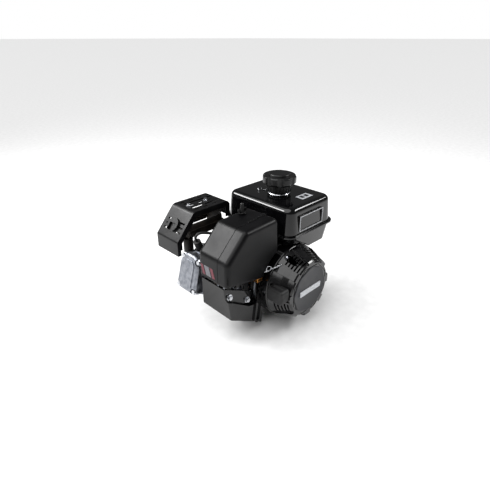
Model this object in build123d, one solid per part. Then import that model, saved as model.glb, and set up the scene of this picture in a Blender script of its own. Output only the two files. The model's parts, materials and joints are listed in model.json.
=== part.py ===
"""Small horizontal-shaft gasoline engine with recoil starter, tank, air cleaner and muffler.

Frame: millimetres, +Z up, +Y along the output shaft, origin at the centre of the four
mounting slots on the base plane, directly below the crankshaft axis.
Every function below builds one named piece and returns it in this frame.
"""
import math
import os

from build123d import *

# ---------------------------------------------------------------- overall layout
CRANK_HEIGHT = 106.0
CYLINDER_TILT = 16.0
BORE_R = 34.0
THROW = 27.0
ROD_LENGTH = 84.0
DECK_DISTANCE = 133.0
HEAD_TOP = 172.0
ROCKER_TOP = 201.0

# ---------------------------------------------------------------- base and output side
BASE_SLOT_X = 162.0
BASE_SLOT_Y = 75.5
BASE_SLOT_WIDTH = 10.0
BASE_SLOT_LENGTH = 18.0
FOOT_THICKNESS = 12.0
CASE_FRONT_Y = -50.0
CASE_JOINT_Y = 50.0
BARREL_WALL = 4.5
PTO_FACE_Y = 76.0
PTO_SHAFT_R = 9.525
PTO_SHAFT_END_Y = 138.0
PTO_BOLT_CIRCLE = 92.1
PTO_TAP_R = 3.4
JOURNAL_R = 12.5
BEARING_R = 26.0
SEAL_R = 20.0

# ---------------------------------------------------------------- valve gear
CAM_DISTANCE = 48.0
CAM_OFFSET = 43.0
CAM_LOBE_Y = 8.0
GEAR_TEETH = 20
GEAR_PITCH_R = 16.0
GEAR_Y0 = 30.0
GEAR_Y1 = 38.0
VALVE_Y = 15.0

# ---------------------------------------------------------------- recoil side
HOUSING_R = 97.0
HOUSING_FRONT_Y = -137.0
HOUSING_STEP_Y = -112.0
HOUSING_STEP_R = 88.0
HOUSING_BACK_Y = -72.0
HOUSING_LOW_BACK_Y = -58.0
SHEET = 1.5
RECOIL_FACE_R = 66.0
RECOIL_BASE_R = 86.0
RECOIL_FACE_Y = -187.0
PULLEY_R = 42.0
PULLEY_Y = -164.0
ROPE_R = 2.0
HANDLE_CENTRE = (-82.0, -162.0, 118.0)
HANDLE_SIZE = (25.0, 43.0, 33.0)

# ---------------------------------------------------------------- fuel tank
TANK_X0 = -18.0
TANK_X1 = 145.0
TANK_Y0 = -137.0
TANK_Y1 = 69.0
TANK_SEAM_Z = 217.0
TANK_TOP_Z = 281.0
TANK_BOTTOM_Z = 169.0
TANK_FLANGE = 6.0
TANK_WALL = 1.5
TANK_NOTCH_R = 100.5
TANK_NOTCH_STEP_R = 91.5
NECK_TOP_Z = 287.0
CAP_BOTTOM_Z = 288.5
CAP_X = 55.0
CAP_Y = -40.0
CAP_HEAD_R = 39.5
CAP_SKIRT_R = 28.5
CAP_TOP_Z = 331.0
NECK_R = 22.0

# ---------------------------------------------------------------- air cleaner
CLEANER_Y0 = -126.0
CLEANER_Y1 = -35.0
CLEANER_STEP_X = -178.0
CLEANER_STEP_Y = -42.0
CLEANER_STEP_Z = 192.0
CLEANER_GROOVE_Y = -96.0
CLEANER_LEFT_X = -192.0
CLEANER_TOP_Z = 273.0
CLEANER_WALL = 2.5
CLEANER_DECK_Z = 198.0
STUD_X = -80.0
STUD_Y = -53.0
STUD_TOP = 282.0

# ---------------------------------------------------------------- intake and exhaust
CARB_X = -138.0
CARB_Z = 133.0
ELBOW_Y = -86.0
THROTTLE_Y = -68.0
BOWL_X = -128.0
BOWL_Y = -74.0
CHOKE_X = -148.0
CHOKE_Z = 140.0
FUEL_VALVE_X = -103.0
FUEL_VALVE_Z = 122.0
PIVOT_X = -34.0
PIVOT_Y = -24.0
GUARD_RIGHT_X = -28.0
GUARD_Y0 = 42.0
GUARD_Y1 = 120.0
GUARD_TOP_Z = 264.0
GUARD_SHEET = 1.5

TILT = math.radians(CYLINDER_TILT)
AXIS_OUT = (-math.cos(TILT), 0, math.sin(TILT))
CYLINDER = Plane(origin=(0, 0, CRANK_HEIGHT), x_dir=(0, -1, 0), z_dir=AXIS_OUT)
CAM_ALONG = math.sqrt(CAM_DISTANCE ** 2 - CAM_OFFSET ** 2)
CAM_X = -CAM_ALONG * math.cos(TILT) - CAM_OFFSET * math.sin(TILT)
CAM_Z = CRANK_HEIGHT + CAM_ALONG * math.sin(TILT) - CAM_OFFSET * math.cos(TILT)


# ================================================================ small builders
def box(x0, x1, y0, y1, z0, z1):
    """Block between two corners."""
    return Pos((x0 + x1) / 2, (y0 + y1) / 2, (z0 + z1) / 2) * Box(x1 - x0, y1 - y0, z1 - z0)


def rod_y(radius, y0, y1, x=0.0, z=CRANK_HEIGHT):
    """Cylinder along Y between two stations."""
    return Pos(x, (y0 + y1) / 2, z) * Rot(90, 0, 0) * Cylinder(radius, y1 - y0)


def rod_z(radius, z0, z1, x, y):
    """Upright cylinder."""
    return Pos(x, y, (z0 + z1) / 2) * Cylinder(radius, z1 - z0)


def rod_x(radius, x0, x1, y, z):
    """Cylinder along X."""
    return Pos((x0 + x1) / 2, y, z) * Rot(0, 90, 0) * Cylinder(radius, x1 - x0)


def outline(points, radii=0.0):
    """Closed polygon with each corner rounded; radii is one value or one per corner."""
    sketch = make_face(Polyline(*points, close=True))
    each = radii if isinstance(radii, (list, tuple)) else [radii] * len(points)
    for point, radius in zip(points, each):
        if radius > 0:
            corner = sketch.vertices().sort_by_distance((point[0], point[1], 0))[0]
            sketch = fillet(corner, radius)
    return sketch


def prism_y(sketch, y0, y1):
    """Sketch drawn in (x, z), pushed along Y from y0 to y1."""
    return extrude(Plane.XZ.offset(-y1) * sketch, y1 - y0)


def prism_x(sketch, x0, x1):
    """Sketch drawn in (y, z), pushed along X from x0 to x1."""
    return extrude(Plane.YZ.offset(x0) * sketch, x1 - x0)


def prism_z(sketch, z0, z1):
    """Sketch drawn in (x, y), pushed up from z0 to z1."""
    return extrude(Plane.XY.offset(z0) * sketch, z1 - z0)


def on_cylinder(shape, x=0.0, y=0.0, z=0.0):
    """Place a shape drawn along the cylinder axis; x is toward -Y, y is up, z is outward."""
    return CYLINDER.location * Pos(x, y, z) * shape


def cyl_box(x0, x1, y0, y1, z0, z1):
    """Block given in cylinder coordinates."""
    return on_cylinder(box(x0, x1, y0, y1, z0, z1))


def cyl_rod(radius, z0, z1, x=0.0, y=0.0):
    """Round bar parallel to the cylinder axis."""
    return on_cylinder(rod_z(radius, z0, z1, x, y))


def turned_y(points, x=0.0, z=CRANK_HEIGHT):
    """Solid of revolution about a line along Y; points are (radius, y)."""
    profile = make_face(Polyline(*points, close=True))
    return Pos(x, 0, z) * revolve(profile, Axis.Y)


def turned_z(points, x, y):
    """Solid of revolution about an upright line; points are (radius, z)."""
    profile = Plane.XZ * make_face(Polyline(*points, close=True))
    return Pos(x, y, 0) * revolve(profile, Axis.Z)


def polar(radius, degrees, y=0.0):
    """Point on a circle about the crank axis, angle measured from +X toward +Z."""
    angle = math.radians(degrees)
    return (radius * math.cos(angle), y, CRANK_HEIGHT + radius * math.sin(angle))


def flange_bolt(length, shank_r=3.0):
    """Hexagon flange bolt along Z, underside of the flange at z=0, shank downward."""
    flange = Pos(0, 0, 0.8) * Cylinder(shank_r * 2.4, 1.6)
    head = extrude(Pos(0, 0, 1.6) * RegularPolygon(shank_r * 1.75, 6), shank_r * 1.5)
    shank = Pos(0, 0, -length / 2) * Cylinder(shank_r, length)
    return flange + head + shank


def save(node, shape):
    """Write one piece to its own file."""
    export_step(shape, os.path.join("parts", node + ".step"))


def group(shapes):
    """Several separate solids kept as one piece."""
    solids = []
    for shape in shapes:
        solids.extend(shape.solids())
    return Compound(children=solids)


# ================================================================ crankcase
CASE_POINTS = [(-60, 0), (-60, 34), (-76, 46), (-76, 122), (-58, 158), (66, 160),
               (85, 140), (85, 50), (60, 34), (60, 0)]
CASE_RADII = [0, 8, 8, 10, 10, 12, 12, 10, 8, 0]
CASE_WALL = 7.0
COVER_BOLTS = [(-66, 46), (-68, 112), (-34, 150), (40, 152), (77, 110), (77, 62),
               (40, 21), (-40, 21)]
HOUSING_EARS = [(74, 52), (-67, 46), (58, 152)]
TANK_PADS = [(10, 34, -40, 40), (62, 80, -40, 40)]
TAPPET_FOOT = CAM_ALONG + 14.8


def cylinder_barrel():
    """Finned barrel and its pushrod tunnel, before the bore is opened."""
    width = 2 * (BORE_R + BARREL_WALL)
    barrel = cyl_rod(BORE_R + BARREL_WALL, 55, DECK_DISTANCE)
    tunnel = cyl_box(-16, 16, -51, -20, 55, DECK_DISTANCE)
    deck = on_cylinder(prism_z(RectangleRounded(width, 88, 9), DECK_DISTANCE - 6, DECK_DISTANCE))
    fins = []
    for index in range(8):
        along = 72 + index * 7.2
        fin = prism_z(RectangleRounded(width, 100, 12), along, along + 2.6)
        fins.append(on_cylinder(fin))
    return barrel + tunnel + deck + fins


def crankcase():
    """Cast block with feet, bearing wall, barrel and the mounting slots."""
    body = prism_y(outline(CASE_POINTS, CASE_RADII), CASE_FRONT_Y, CASE_JOINT_Y)
    foot = prism_z(RectangleRounded(196, 114, 8), 0, FOOT_THICKNESS)
    boss = rod_y(32, CASE_FRONT_Y - 8, CASE_FRONT_Y)
    block = body + foot + boss + cylinder_barrel()
    inside = offset(outline(CASE_POINTS, CASE_RADII), -CASE_WALL)
    block -= prism_y(inside, CASE_FRONT_Y + 16, CASE_JOINT_Y) & box(-90, 90, -60, 60, 18, 170)
    block -= cyl_rod(BORE_R, 40, DECK_DISTANCE + 1)
    for side in (-1, 1):
        block -= cyl_rod(4.6, 44, 75, side * CAM_LOBE_Y, -CAM_OFFSET)
        block -= cyl_rod(5.5, 70, DECK_DISTANCE + 1, side * CAM_LOBE_Y, -CAM_OFFSET)
    block -= rod_y(BEARING_R, CASE_FRONT_Y + 1, CASE_FRONT_Y + 17)
    block -= rod_y(JOURNAL_R + 1.5, CASE_FRONT_Y - 9, CASE_FRONT_Y + 2)
    block -= rod_y(SEAL_R, CASE_FRONT_Y - 9, CASE_FRONT_Y - 1)
    block -= rod_y(6.05, CASE_FRONT_Y + 6, CASE_FRONT_Y + 17, CAM_X, CAM_Z)
    for x, z in COVER_BOLTS:
        post = rod_y(7, 37, CASE_JOINT_Y, x, z) & prism_y(outline(CASE_POINTS), 0, CASE_JOINT_Y)
        block += post
        block -= rod_y(3.0, 38.5, CASE_JOINT_Y + 1, x, z)
    for x in (-BASE_SLOT_X / 2, BASE_SLOT_X / 2):
        for y in (-BASE_SLOT_Y / 2, BASE_SLOT_Y / 2):
            slot = SlotOverall(BASE_SLOT_LENGTH, BASE_SLOT_WIDTH)
            block -= prism_z(Pos(x, y) * slot, -1, FOOT_THICKNESS + 1)
            block -= box(x - 15, x + 15, y - 11, y + 11, FOOT_THICKNESS, 33)
    for x, y in HEAD_BOLTS:
        block -= cyl_rod(3.4, DECK_DISTANCE - 22, DECK_DISTANCE + 1, x, y)
    for x0, x1, y0, y1 in TANK_PADS:
        block += box(x0, x1, y0, y1, 150, TANK_BOTTOM_Z) & box(-90, 90, -60, 60, 158, 180)
        block += box(x0, x1, y0, y1, 145, 159) - prism_y(inside, CASE_FRONT_Y, CASE_JOINT_Y)
    for side in (-1, 1):
        block -= rod_y(8.5, CASE_FRONT_Y - 1, CASE_FRONT_Y + 18, side * 44, 34)
    return block


def crankcase_cover():
    """Side cover carrying the output bearing, the seal and the drive face."""
    plate = CASE_JOINT_Y
    cover = prism_y(outline(CASE_POINTS, CASE_RADII), plate, plate + 9)
    cover += rod_y(56, plate, PTO_FACE_Y)
    for index in range(8):
        rib = Rot(0, index * 45 + 22.5, 0) * box(50, 66, plate, plate + 16, -2.5, 2.5)
        cover += Pos(0, 0, CRANK_HEIGHT) * rib
    for x, z in COVER_BOLTS:
        cover += rod_y(8, plate, plate + 11, x, z) & prism_y(
            outline(CASE_POINTS, CASE_RADII), plate, plate + 11)
        cover -= rod_y(8.6, plate + 11, PTO_FACE_Y + 1, x, z)
        cover -= rod_y(3.0, plate - 1, plate + 12, x, z)
    cover -= box(-120, 120, plate - 1, PTO_FACE_Y, -1, FOOT_THICKNESS + 0.4)
    cover -= rod_y(BEARING_R, plate - 1, plate + 15.5)
    cover -= rod_y(JOURNAL_R + 1.5, plate, PTO_FACE_Y + 1)
    cover -= rod_y(SEAL_R, PTO_FACE_Y - 8, PTO_FACE_Y + 1)
    cover -= rod_y(6.05, plate - 1, plate + 8, CAM_X, CAM_Z)
    for index in range(4):
        x, _, z = polar(PTO_BOLT_CIRCLE / 2, 45 + 90 * index)
        cover -= rod_y(PTO_TAP_R, PTO_FACE_Y - 18, PTO_FACE_Y + 1, x, z)
    return cover


def cover_bolts():
    """Flange bolts that hold the side cover."""
    bolt = Rot(-90, 0, 0) * flange_bolt(22)
    return group([Pos(x, CASE_JOINT_Y + 11, z) * bolt for x, z in COVER_BOLTS])


def oil_plugs():
    """Threaded filler plugs with winged heads, one on each side of the front wall."""
    plugs = []
    for side in (-1, 1):
        plug = rod_y(8.45, CASE_FRONT_Y - 2, CASE_FRONT_Y + 14, side * 44, 34)
        plug += rod_y(12, CASE_FRONT_Y - 5, CASE_FRONT_Y, side * 44, 34)
        plug += box(side * 44 - 2.5, side * 44 + 2.5, CASE_FRONT_Y - 14, CASE_FRONT_Y - 4, 25, 43)
        plugs.append(plug)
    return group(plugs)


# ================================================================ crank train
def crankshaft():
    """Forged crankshaft without its pin: journals, two webs, taper and keyed output end."""
    shaft = rod_y(JOURNAL_R, -60, -13) + rod_y(JOURNAL_R, 13, PTO_FACE_Y)
    shaft += rod_y(PTO_SHAFT_R, PTO_FACE_Y, PTO_SHAFT_END_Y)
    for y0 in (-25, 13):
        weight = rod_y(39.5, y0, y0 + 12) & cyl_box(-60, 60, -60, 60, -60, 4)
        cheek = rod_y(39.5, y0, y0 + 12) & cyl_box(-60, 60, -17, 17, 3, 60)
        shaft += weight + cheek
    shaft += turned_y([(0, -60), (11.5, -60), (9.5, -88), (0, -88)])
    shaft += rod_y(6.5, -104, -88)
    teeth = gear_outline(GEAR_TEETH, GEAR_PITCH_R, toward_cam())
    shaft += prism_y(Pos(0, CRANK_HEIGHT) * teeth, GEAR_Y0, GEAR_Y1)
    shaft -= box(-2.4, 2.4, 84, 126, CRANK_HEIGHT + PTO_SHAFT_R - 2.4, CRANK_HEIGHT + 12)
    shaft -= rod_y(PTO_TAP_R, PTO_SHAFT_END_Y - 28, PTO_SHAFT_END_Y + 1)
    end = shaft.edges().filter_by(GeomType.CIRCLE).group_by(Axis.Y)[-1]
    return chamfer(end.sort_by(SortBy.RADIUS)[-1], 1.0)


def crankpin():
    """Crank pin held at top dead centre between the webs."""
    return on_cylinder(Rot(0, 90, 0) * Cylinder(12, 25.2), z=THROW)


def connecting_rod():
    """I-section rod with its big end on the pin and its small end on the wrist pin."""
    rod = on_cylinder(Rot(0, 90, 0) * Cylinder(18, 20), z=THROW)
    rod += on_cylinder(Rot(0, 90, 0) * Cylinder(12, 20), z=THROW + ROD_LENGTH)
    rod += cyl_box(-6, 6, -8, 8, THROW + 12, THROW + ROD_LENGTH - 8)
    for side in (-1, 1):
        rod += cyl_box(-6, 6, side * 18 - 5, side * 18 + 5, THROW - 12, THROW + 12)
        rod -= cyl_box(side * 4.5 - 2, side * 4.5 + 2, -4, 4, THROW + 24, THROW + ROD_LENGTH - 16)
    rod -= on_cylinder(Rot(0, 90, 0) * Cylinder(12, 40), z=THROW)
    rod -= on_cylinder(Rot(0, 90, 0) * Cylinder(9, 40), z=THROW + ROD_LENGTH)
    return rod


PISTON_CROWN = THROW + ROD_LENGTH + 20
RING_HEIGHTS = (PISTON_CROWN - 5, PISTON_CROWN - 9, PISTON_CROWN - 14)


def piston():
    """Flat-topped piston with its rings and an open skirt."""
    body = cyl_rod(BORE_R - 0.06, PISTON_CROWN - 44, PISTON_CROWN)
    body -= cyl_rod(BORE_R - 5, PISTON_CROWN - 45, PISTON_CROWN - 7) - cyl_box(
        11, 40, -14, 14, PISTON_CROWN - 40, PISTON_CROWN) - cyl_box(
        -40, -11, -14, 14, PISTON_CROWN - 40, PISTON_CROWN)
    body -= on_cylinder(Rot(0, 90, 0) * Cylinder(9, 90), z=THROW + ROD_LENGTH)
    for height in RING_HEIGHTS:
        body -= cyl_rod(BORE_R + 1, height - 0.4, height + 2.4) - cyl_rod(
            BORE_R - 3, height - 1, height + 3)
        body += cyl_rod(BORE_R - 0.02, height, height + 2) - cyl_rod(
            BORE_R - 4, height - 1, height + 3)
    return body


def wrist_pin():
    """Hollow pin joining piston and rod."""
    pin = Rot(0, 90, 0) * (Cylinder(9, 58) - Cylinder(5.5, 60))
    return on_cylinder(pin, z=THROW + ROD_LENGTH)


def main_bearings():
    """Ball bearings on both sides of the crank, each drawn as its inner and outer races."""
    races = []
    for y0 in (CASE_FRONT_Y + 1, CASE_JOINT_Y + 0.4):
        ring = rod_y(BEARING_R, y0, y0 + 15) - rod_y(JOURNAL_R + 0.05, y0 - 1, y0 + 16)
        groove = rod_y(21.5, y0 - 1, y0 + 3) - rod_y(17.5, y0 - 1, y0 + 3)
        races.append(ring - groove - Pos(0, 13, 0) * groove)
    return group(races)


def oil_seals():
    """Lip seals where the crankshaft leaves the case."""
    seals = []
    for y0 in (CASE_FRONT_Y - 8, PTO_FACE_Y - 7.5):
        ring = rod_y(SEAL_R, y0, y0 + 6.5) - rod_y(JOURNAL_R + 0.05, y0 - 1, y0 + 8)
        seals.append(ring)
    return group(seals)


def gear_outline(teeth, pitch_r, turn):
    """Short straight-sided teeth that run in mesh with a little backlash."""
    points = []
    for index in range(teeth):
        centre = 360.0 / teeth * index + turn
        for radius, half in ((-1.7, 1.5), (1.2, 0.62), (1.2, -0.62), (-1.7, -1.5)):
            r = pitch_r + radius
            angle = math.radians(centre) - half / r
            points.append((r * math.cos(angle), r * math.sin(angle)))
    return make_face(Polyline(*points, close=True))


def toward_cam():
    """Angle in the (x, z) plane from the crank centre to the cam centre."""
    return math.degrees(math.atan2(CAM_Z - CRANK_HEIGHT, CAM_X))


def camshaft():
    """Camshaft with its gear and two lobes, the noses pointing away from the tappets."""
    half_tooth = 180.0 / (2 * GEAR_TEETH)
    turn = toward_cam() + 180 + half_tooth
    teeth = gear_outline(2 * GEAR_TEETH, 2 * GEAR_PITCH_R, turn)
    cam = prism_y(Pos(CAM_X, CAM_Z) * teeth, GEAR_Y0 + 0.5, GEAR_Y1 - 0.5)
    for index in range(6):
        angle = math.radians(60 * index)
        x = CAM_X + 19 * math.cos(angle)
        z = CAM_Z + 19 * math.sin(angle)
        cam -= rod_y(6, GEAR_Y0, GEAR_Y1, x, z)
    cam += rod_y(6, CASE_FRONT_Y + 7, CASE_JOINT_Y + 7.5, CAM_X, CAM_Z)
    for side, lean in ((-1, 50), (1, -50)):
        y0 = side * CAM_LOBE_Y - 3.5
        lobe = rod_y(9, y0, y0 + 7, CAM_X, CAM_Z)
        angle = math.radians(-CYLINDER_TILT + lean)
        nose_x = CAM_X + 9 * math.cos(angle)
        nose_z = CAM_Z + 9 * math.sin(angle)
        nose = rod_y(5.2, y0, y0 + 7, nose_x, nose_z)
        bridge = Pos((CAM_X + nose_x) / 2, y0 + 3.5, (CAM_Z + nose_z) / 2) * Rot(
            0, -math.degrees(angle), 0) * Box(9, 7, 12.5)
        cam += lobe + nose + bridge
    return cam


def tappets():
    """Flat-footed tappets over the lobes, each with its pushrod seated in it."""
    pair = []
    for side in (-1, 1):
        x = side * CAM_LOBE_Y
        foot = cyl_rod(6.5, TAPPET_FOOT, TAPPET_FOOT + 2.5, x, -CAM_OFFSET)
        stem = cyl_rod(4.55, TAPPET_FOOT + 2, 68, x, -CAM_OFFSET)
        pair.append(foot + stem + cyl_rod(2.5, 67, HEAD_TOP + 11, x, -CAM_OFFSET))
    return group(pair)


def valves():
    """Intake and exhaust valves, closed."""
    pair = []
    for side in (-1, 1):
        x = side * VALVE_Y
        head = cyl_rod(12.5 if side > 0 else 11.5, DECK_DISTANCE + 0.6, DECK_DISTANCE + 3, x, 0)
        pair.append(head + cyl_rod(2.75, DECK_DISTANCE + 2, HEAD_TOP + 13, x, 0))
    return group(pair)


def valve_springs():
    """Coil springs around the valve stems, with their retainers."""
    pair = []
    for side in (-1, 1):
        x = side * VALVE_Y
        helix = Helix(pitch=4.2, height=12.6, radius=8.0)
        wire = sweep(Plane(helix @ 0, z_dir=helix % 0) * Circle(1.1), path=helix, is_frenet=True)
        spring = on_cylinder(wire, x, 0, HEAD_TOP - 7.4)
        retainer = cyl_rod(10, HEAD_TOP + 6.8, HEAD_TOP + 9.6, x, 0)
        retainer -= cyl_rod(2.75, HEAD_TOP + 5, HEAD_TOP + 11, x, 0)
        pair.append(spring)
        pair.append(retainer)
    return group(pair)


def rocker_arms():
    """Stamped rockers on their pivots, from pushrod to valve tip."""
    parts = []
    for side in (-1, 1):
        start = (side * CAM_LOBE_Y, -CAM_OFFSET)
        finish = (side * VALVE_Y, 0)
        length = math.dist(start, finish)
        angle = math.degrees(math.atan2(finish[1] - start[1], finish[0] - start[0]))
        bar = Rot(0, 0, angle) * SlotCenterToCenter(length, 9)
        middle = ((start[0] + finish[0]) / 2, (start[1] + finish[1]) / 2)
        arm = prism_z(Pos(*middle) * bar, HEAD_TOP + 13, HEAD_TOP + 17)
        arm = on_cylinder(arm)
        arm += cyl_rod(3.6, HEAD_TOP + 11, HEAD_TOP + 13, start[0], start[1])
        arm -= cyl_rod(3.2, HEAD_TOP - 20, HEAD_TOP + 20, *middle)
        parts.append(arm)
        stud = cyl_rod(3.2, HEAD_TOP - 9, HEAD_TOP + 22, *middle)
        nut = on_cylinder(prism_z(Pos(*middle) * RegularPolygon(5.6, 6), HEAD_TOP + 17,
                                  HEAD_TOP + 21))
        parts.append(stud + nut)
    return group(parts)


# ================================================================ cylinder head
HEAD_BOLTS = [(-31, 36), (31, 36), (-31, -36), (31, -36)]


def cylinder_head():
    """Finned head with ports, valve pockets and the rocker box floor."""
    z0 = DECK_DISTANCE
    head = on_cylinder(prism_z(RectangleRounded(76, 88, 9), z0, z0 + 10))
    head += on_cylinder(prism_z(Pos(0, -9.5) * RectangleRounded(68, 91, 10), z0, HEAD_TOP))
    for index in range(3):
        along = z0 + 15 + index * 6.5
        head += on_cylinder(prism_z(Pos(0, -7) * RectangleRounded(76, 98, 10), along, along + 2.4))
    intake = rod_y(13, -44, 0, CARB_X, CARB_Z)
    exhaust = rod_y(16, 0, 46, EXHAUST_X, EXHAUST_Z)
    head += (intake + exhaust) & cyl_box(-60, 60, -70, 70, z0, HEAD_TOP - 3)
    dome = cyl_rod(BORE_R - 3, z0 - 1, z0 + 3)
    head -= dome
    for side in (-1, 1):
        x = side * VALVE_Y
        head -= cyl_rod(10.2, z0 + 3, z0 + 18, x, 0)
        head -= cyl_rod(2.75, z0, HEAD_TOP + 1, x, 0)
        head -= cyl_rod(10.8, HEAD_TOP - 9, HEAD_TOP + 1, x, 0)
        head -= cyl_rod(5.5, z0 - 1, HEAD_TOP + 1, side * CAM_LOBE_Y, -CAM_OFFSET)
        middle_x = side * (CAM_LOBE_Y + VALVE_Y) / 2
        head -= cyl_rod(3.2, HEAD_TOP - 9, HEAD_TOP + 1, middle_x, -CAM_OFFSET / 2)
    head -= rod_y(8.5, -45, -12, CARB_X, CARB_Z)
    head -= rod_y(9, 12, 47, EXHAUST_X, EXHAUST_Z)
    for x, y in HEAD_BOLTS:
        head -= cyl_rod(3.4, z0 - 1, z0 + 60, x, y)
        head -= cyl_rod(9.0, z0 + 10, z0 + 60, x, y)
    head -= plug_axis_bar(6.9, -16, 40)
    head -= plug_axis_bar(12, 0.5, 60)
    return keep_largest(head)


PLUG_SEAT = (-14, 22, DECK_DISTANCE + 17)
PLUG_LEAN = 52.0


def plug_axis_bar(radius, start, finish):
    """Round bar on the spark plug axis, measured outward from the plug seat."""
    bar = Pos(0, 0, (start + finish) / 2) * Cylinder(radius, finish - start)
    return on_cylinder(Pos(*PLUG_SEAT) * Rot(-PLUG_LEAN, 0, 0) * bar)


def spark_plug():
    """Plug with hexagon, insulator and terminal."""
    plug = plug_axis_bar(6.9, -14, 0.5) + plug_axis_bar(9.5, 2.2, 4.0) + plug_axis_bar(8.5, 0.5, 2.2)
    hexagon = extrude(RegularPolygon(10.2, 6), 8)
    plug += on_cylinder(Pos(*PLUG_SEAT) * Rot(-PLUG_LEAN, 0, 0) * Pos(0, 0, 4) * hexagon)
    plug += plug_axis_bar(5.2, 12, 26) + plug_axis_bar(3.0, 26, 33)
    return plug


def spark_plug_cap():
    """Rubber boot pushed over the plug terminal."""
    boot = plug_axis_bar(8.6, 16, 44) + plug_axis_bar(10.0, 16, 19)
    boot -= plug_axis_bar(5.3, 15, 26)
    boot -= plug_axis_bar(3.1, 25, 33.2)
    return boot


def head_bolts():
    """Four flange bolts through the head."""
    bolt = flange_bolt(30, 3.4)
    return group([on_cylinder(bolt, x, y, DECK_DISTANCE + 10) for x, y in HEAD_BOLTS])


ROCKER_BOLTS = [(-25, 22), (25, 22), (-26, -46), (26, -46)]


def rocker_outline():
    """Cover outline, flat at the bottom and round at the top."""
    points = [(-33, -54), (33, -54), (33, 35), (-33, 35)]
    return outline(points, [9, 9, 28, 28])


def rocker_cover():
    """Cast cover over the rocker gear, with a raised centre panel."""
    rim = prism_z(rocker_outline(), HEAD_TOP, HEAD_TOP + 4)
    body = prism_z(offset(rocker_outline(), -2), HEAD_TOP, ROCKER_TOP)
    top = body.faces().sort_by(Axis.Z)[-1]
    body = fillet(top.edges(), 6)
    shell = rim + body
    shell -= prism_z(offset(rocker_outline(), -4.5), HEAD_TOP - 1, ROCKER_TOP - 3)
    shell += prism_z(offset(rocker_outline(), -15), ROCKER_TOP - 0.5, ROCKER_TOP + 1.5)
    for x, y in ROCKER_BOLTS:
        shell += rod_z(6.5, HEAD_TOP, ROCKER_TOP - 8, x, y) - rod_z(
            3.0, HEAD_TOP - 1, ROCKER_TOP, x, y)
        shell -= rod_z(7.5, ROCKER_TOP - 8, ROCKER_TOP + 4, x, y)
        shell -= rod_z(3.0, HEAD_TOP - 1, ROCKER_TOP, x, y)
    return on_cylinder(shell)


def rocker_cover_bolts():
    """Four short bolts in the cover pockets."""
    bolt = flange_bolt(ROCKER_TOP - 8 - HEAD_TOP)
    return group([on_cylinder(bolt, x, y, ROCKER_TOP - 8) for x, y in ROCKER_BOLTS])


# ================================================================ flywheel side
def flywheel():
    """Cast flywheel with a heavy rim, keyed on the crank taper."""
    points = [(9.5, -88), (9.5, -92), (20, -92), (20, -86), (60, -86), (60, -98), (80, -98),
              (80, -76), (60, -76), (60, -80), (20, -80), (20, -64), (11.214, -64)]
    wheel = turned_y(points)
    magnet = rod_y(82, -96, -80) - rod_y(79, -97, -79)
    wheel += magnet & box(-30, 30, -100, -70, CRANK_HEIGHT + 40, CRANK_HEIGHT + 90)
    for index in range(6):
        x, _, z = polar(40, 60 * index)
        wheel -= rod_y(8, -90, -70, x, z)
    return wheel


def cooling_fan():
    """Fan disc with curved radial blades."""
    fan = rod_y(84, -101, -98) - rod_y(22, -103, -97)
    blade = box(40, 84, -120, -100.5, -1.2, 1.2)
    for index in range(14):
        turn = Rot(0, index * 360.0 / 14, 0) * Pos(0, 0, 8) * blade
        fan += Pos(0, 0, CRANK_HEIGHT) * turn
    return fan & rod_y(84, -130, -90)


def starter_cup():
    """Pressed cup the starter pawls engage, clamped under the flywheel nut."""
    points = [(6.55, -92), (21.5, -92), (21.5, -104), (34, -104), (34, -146), (32, -146),
              (32, -106), (19.5, -106), (19.5, -94), (6.55, -94)]
    cup = turned_y(points)
    for index in range(3):
        slot = Rot(0, 120 * index, 0) * box(28, 38, -134, -120, -9, 9)
        cup -= Pos(0, 0, CRANK_HEIGHT) * slot
    return cup


def flywheel_nut():
    """Hexagon nut that clamps flywheel, fan and cup."""
    nut = prism_y(Pos(0, CRANK_HEIGHT) * RegularPolygon(11, 6), -104, -94)
    return nut - rod_y(6.5, -105, -93)


DUCT_POINTS = [(-184, 150), (-172, 70), (-76, 14), (-70, 93)]
DUCT_BACK_POINTS = [(-191, 158), (-190, 93), (-78, 24), (-70, 93)]
DUCT_FRONT_Y = -112.0
DUCT_BACK_Y = -44.0
POCKET_Y = -104.0
POCKET_POINTS = [(-190, 156), (-179.5, 119), (-163, 110), (-118, 80), (-100, 76),
                 (-70, 94), (-90, 130)]
LEG_BOLTS = [(-169, 125), (-117, 94)]


def duct_volume(shrink, front_y, back_y):
    """Tapered duct: its outer wall leans out from the front face to the back edge."""
    front = Plane.XZ.offset(-front_y) * offset(outline(DUCT_POINTS), -shrink)
    back = Plane.XZ.offset(-back_y) * offset(outline(DUCT_BACK_POINTS), -shrink)
    return loft([front.face(), back.face()], ruled=True)


def drum_volume(shrink, back_y):
    """Stepped drum around the flywheel and fan."""
    front = HOUSING_FRONT_Y + shrink
    drum = rod_y(HOUSING_R - shrink, HOUSING_STEP_Y + shrink, back_y)
    drum = fillet(drum.edges().group_by(Axis.Y)[0], DRUM_EDGE_R)
    nose = rod_y(HOUSING_STEP_R - shrink, front, HOUSING_STEP_Y + 10)
    return drum + fillet(nose.edges().group_by(Axis.Y)[0], DRUM_EDGE_R)


DRUM_EDGE_R = 4.0
BEAD_DEPTH = 4.0


def bead():
    """Arched stiffening bead on the step between duct plate and drum."""
    arch = SlotOverall(86, 22) - SlotOverall(75, 11)
    solid = prism_y(Rot(0, 0, 82) * arch, HOUSING_STEP_Y - BEAD_DEPTH, HOUSING_STEP_Y + 1)
    return Pos(-88, 0, 68) * solid


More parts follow.
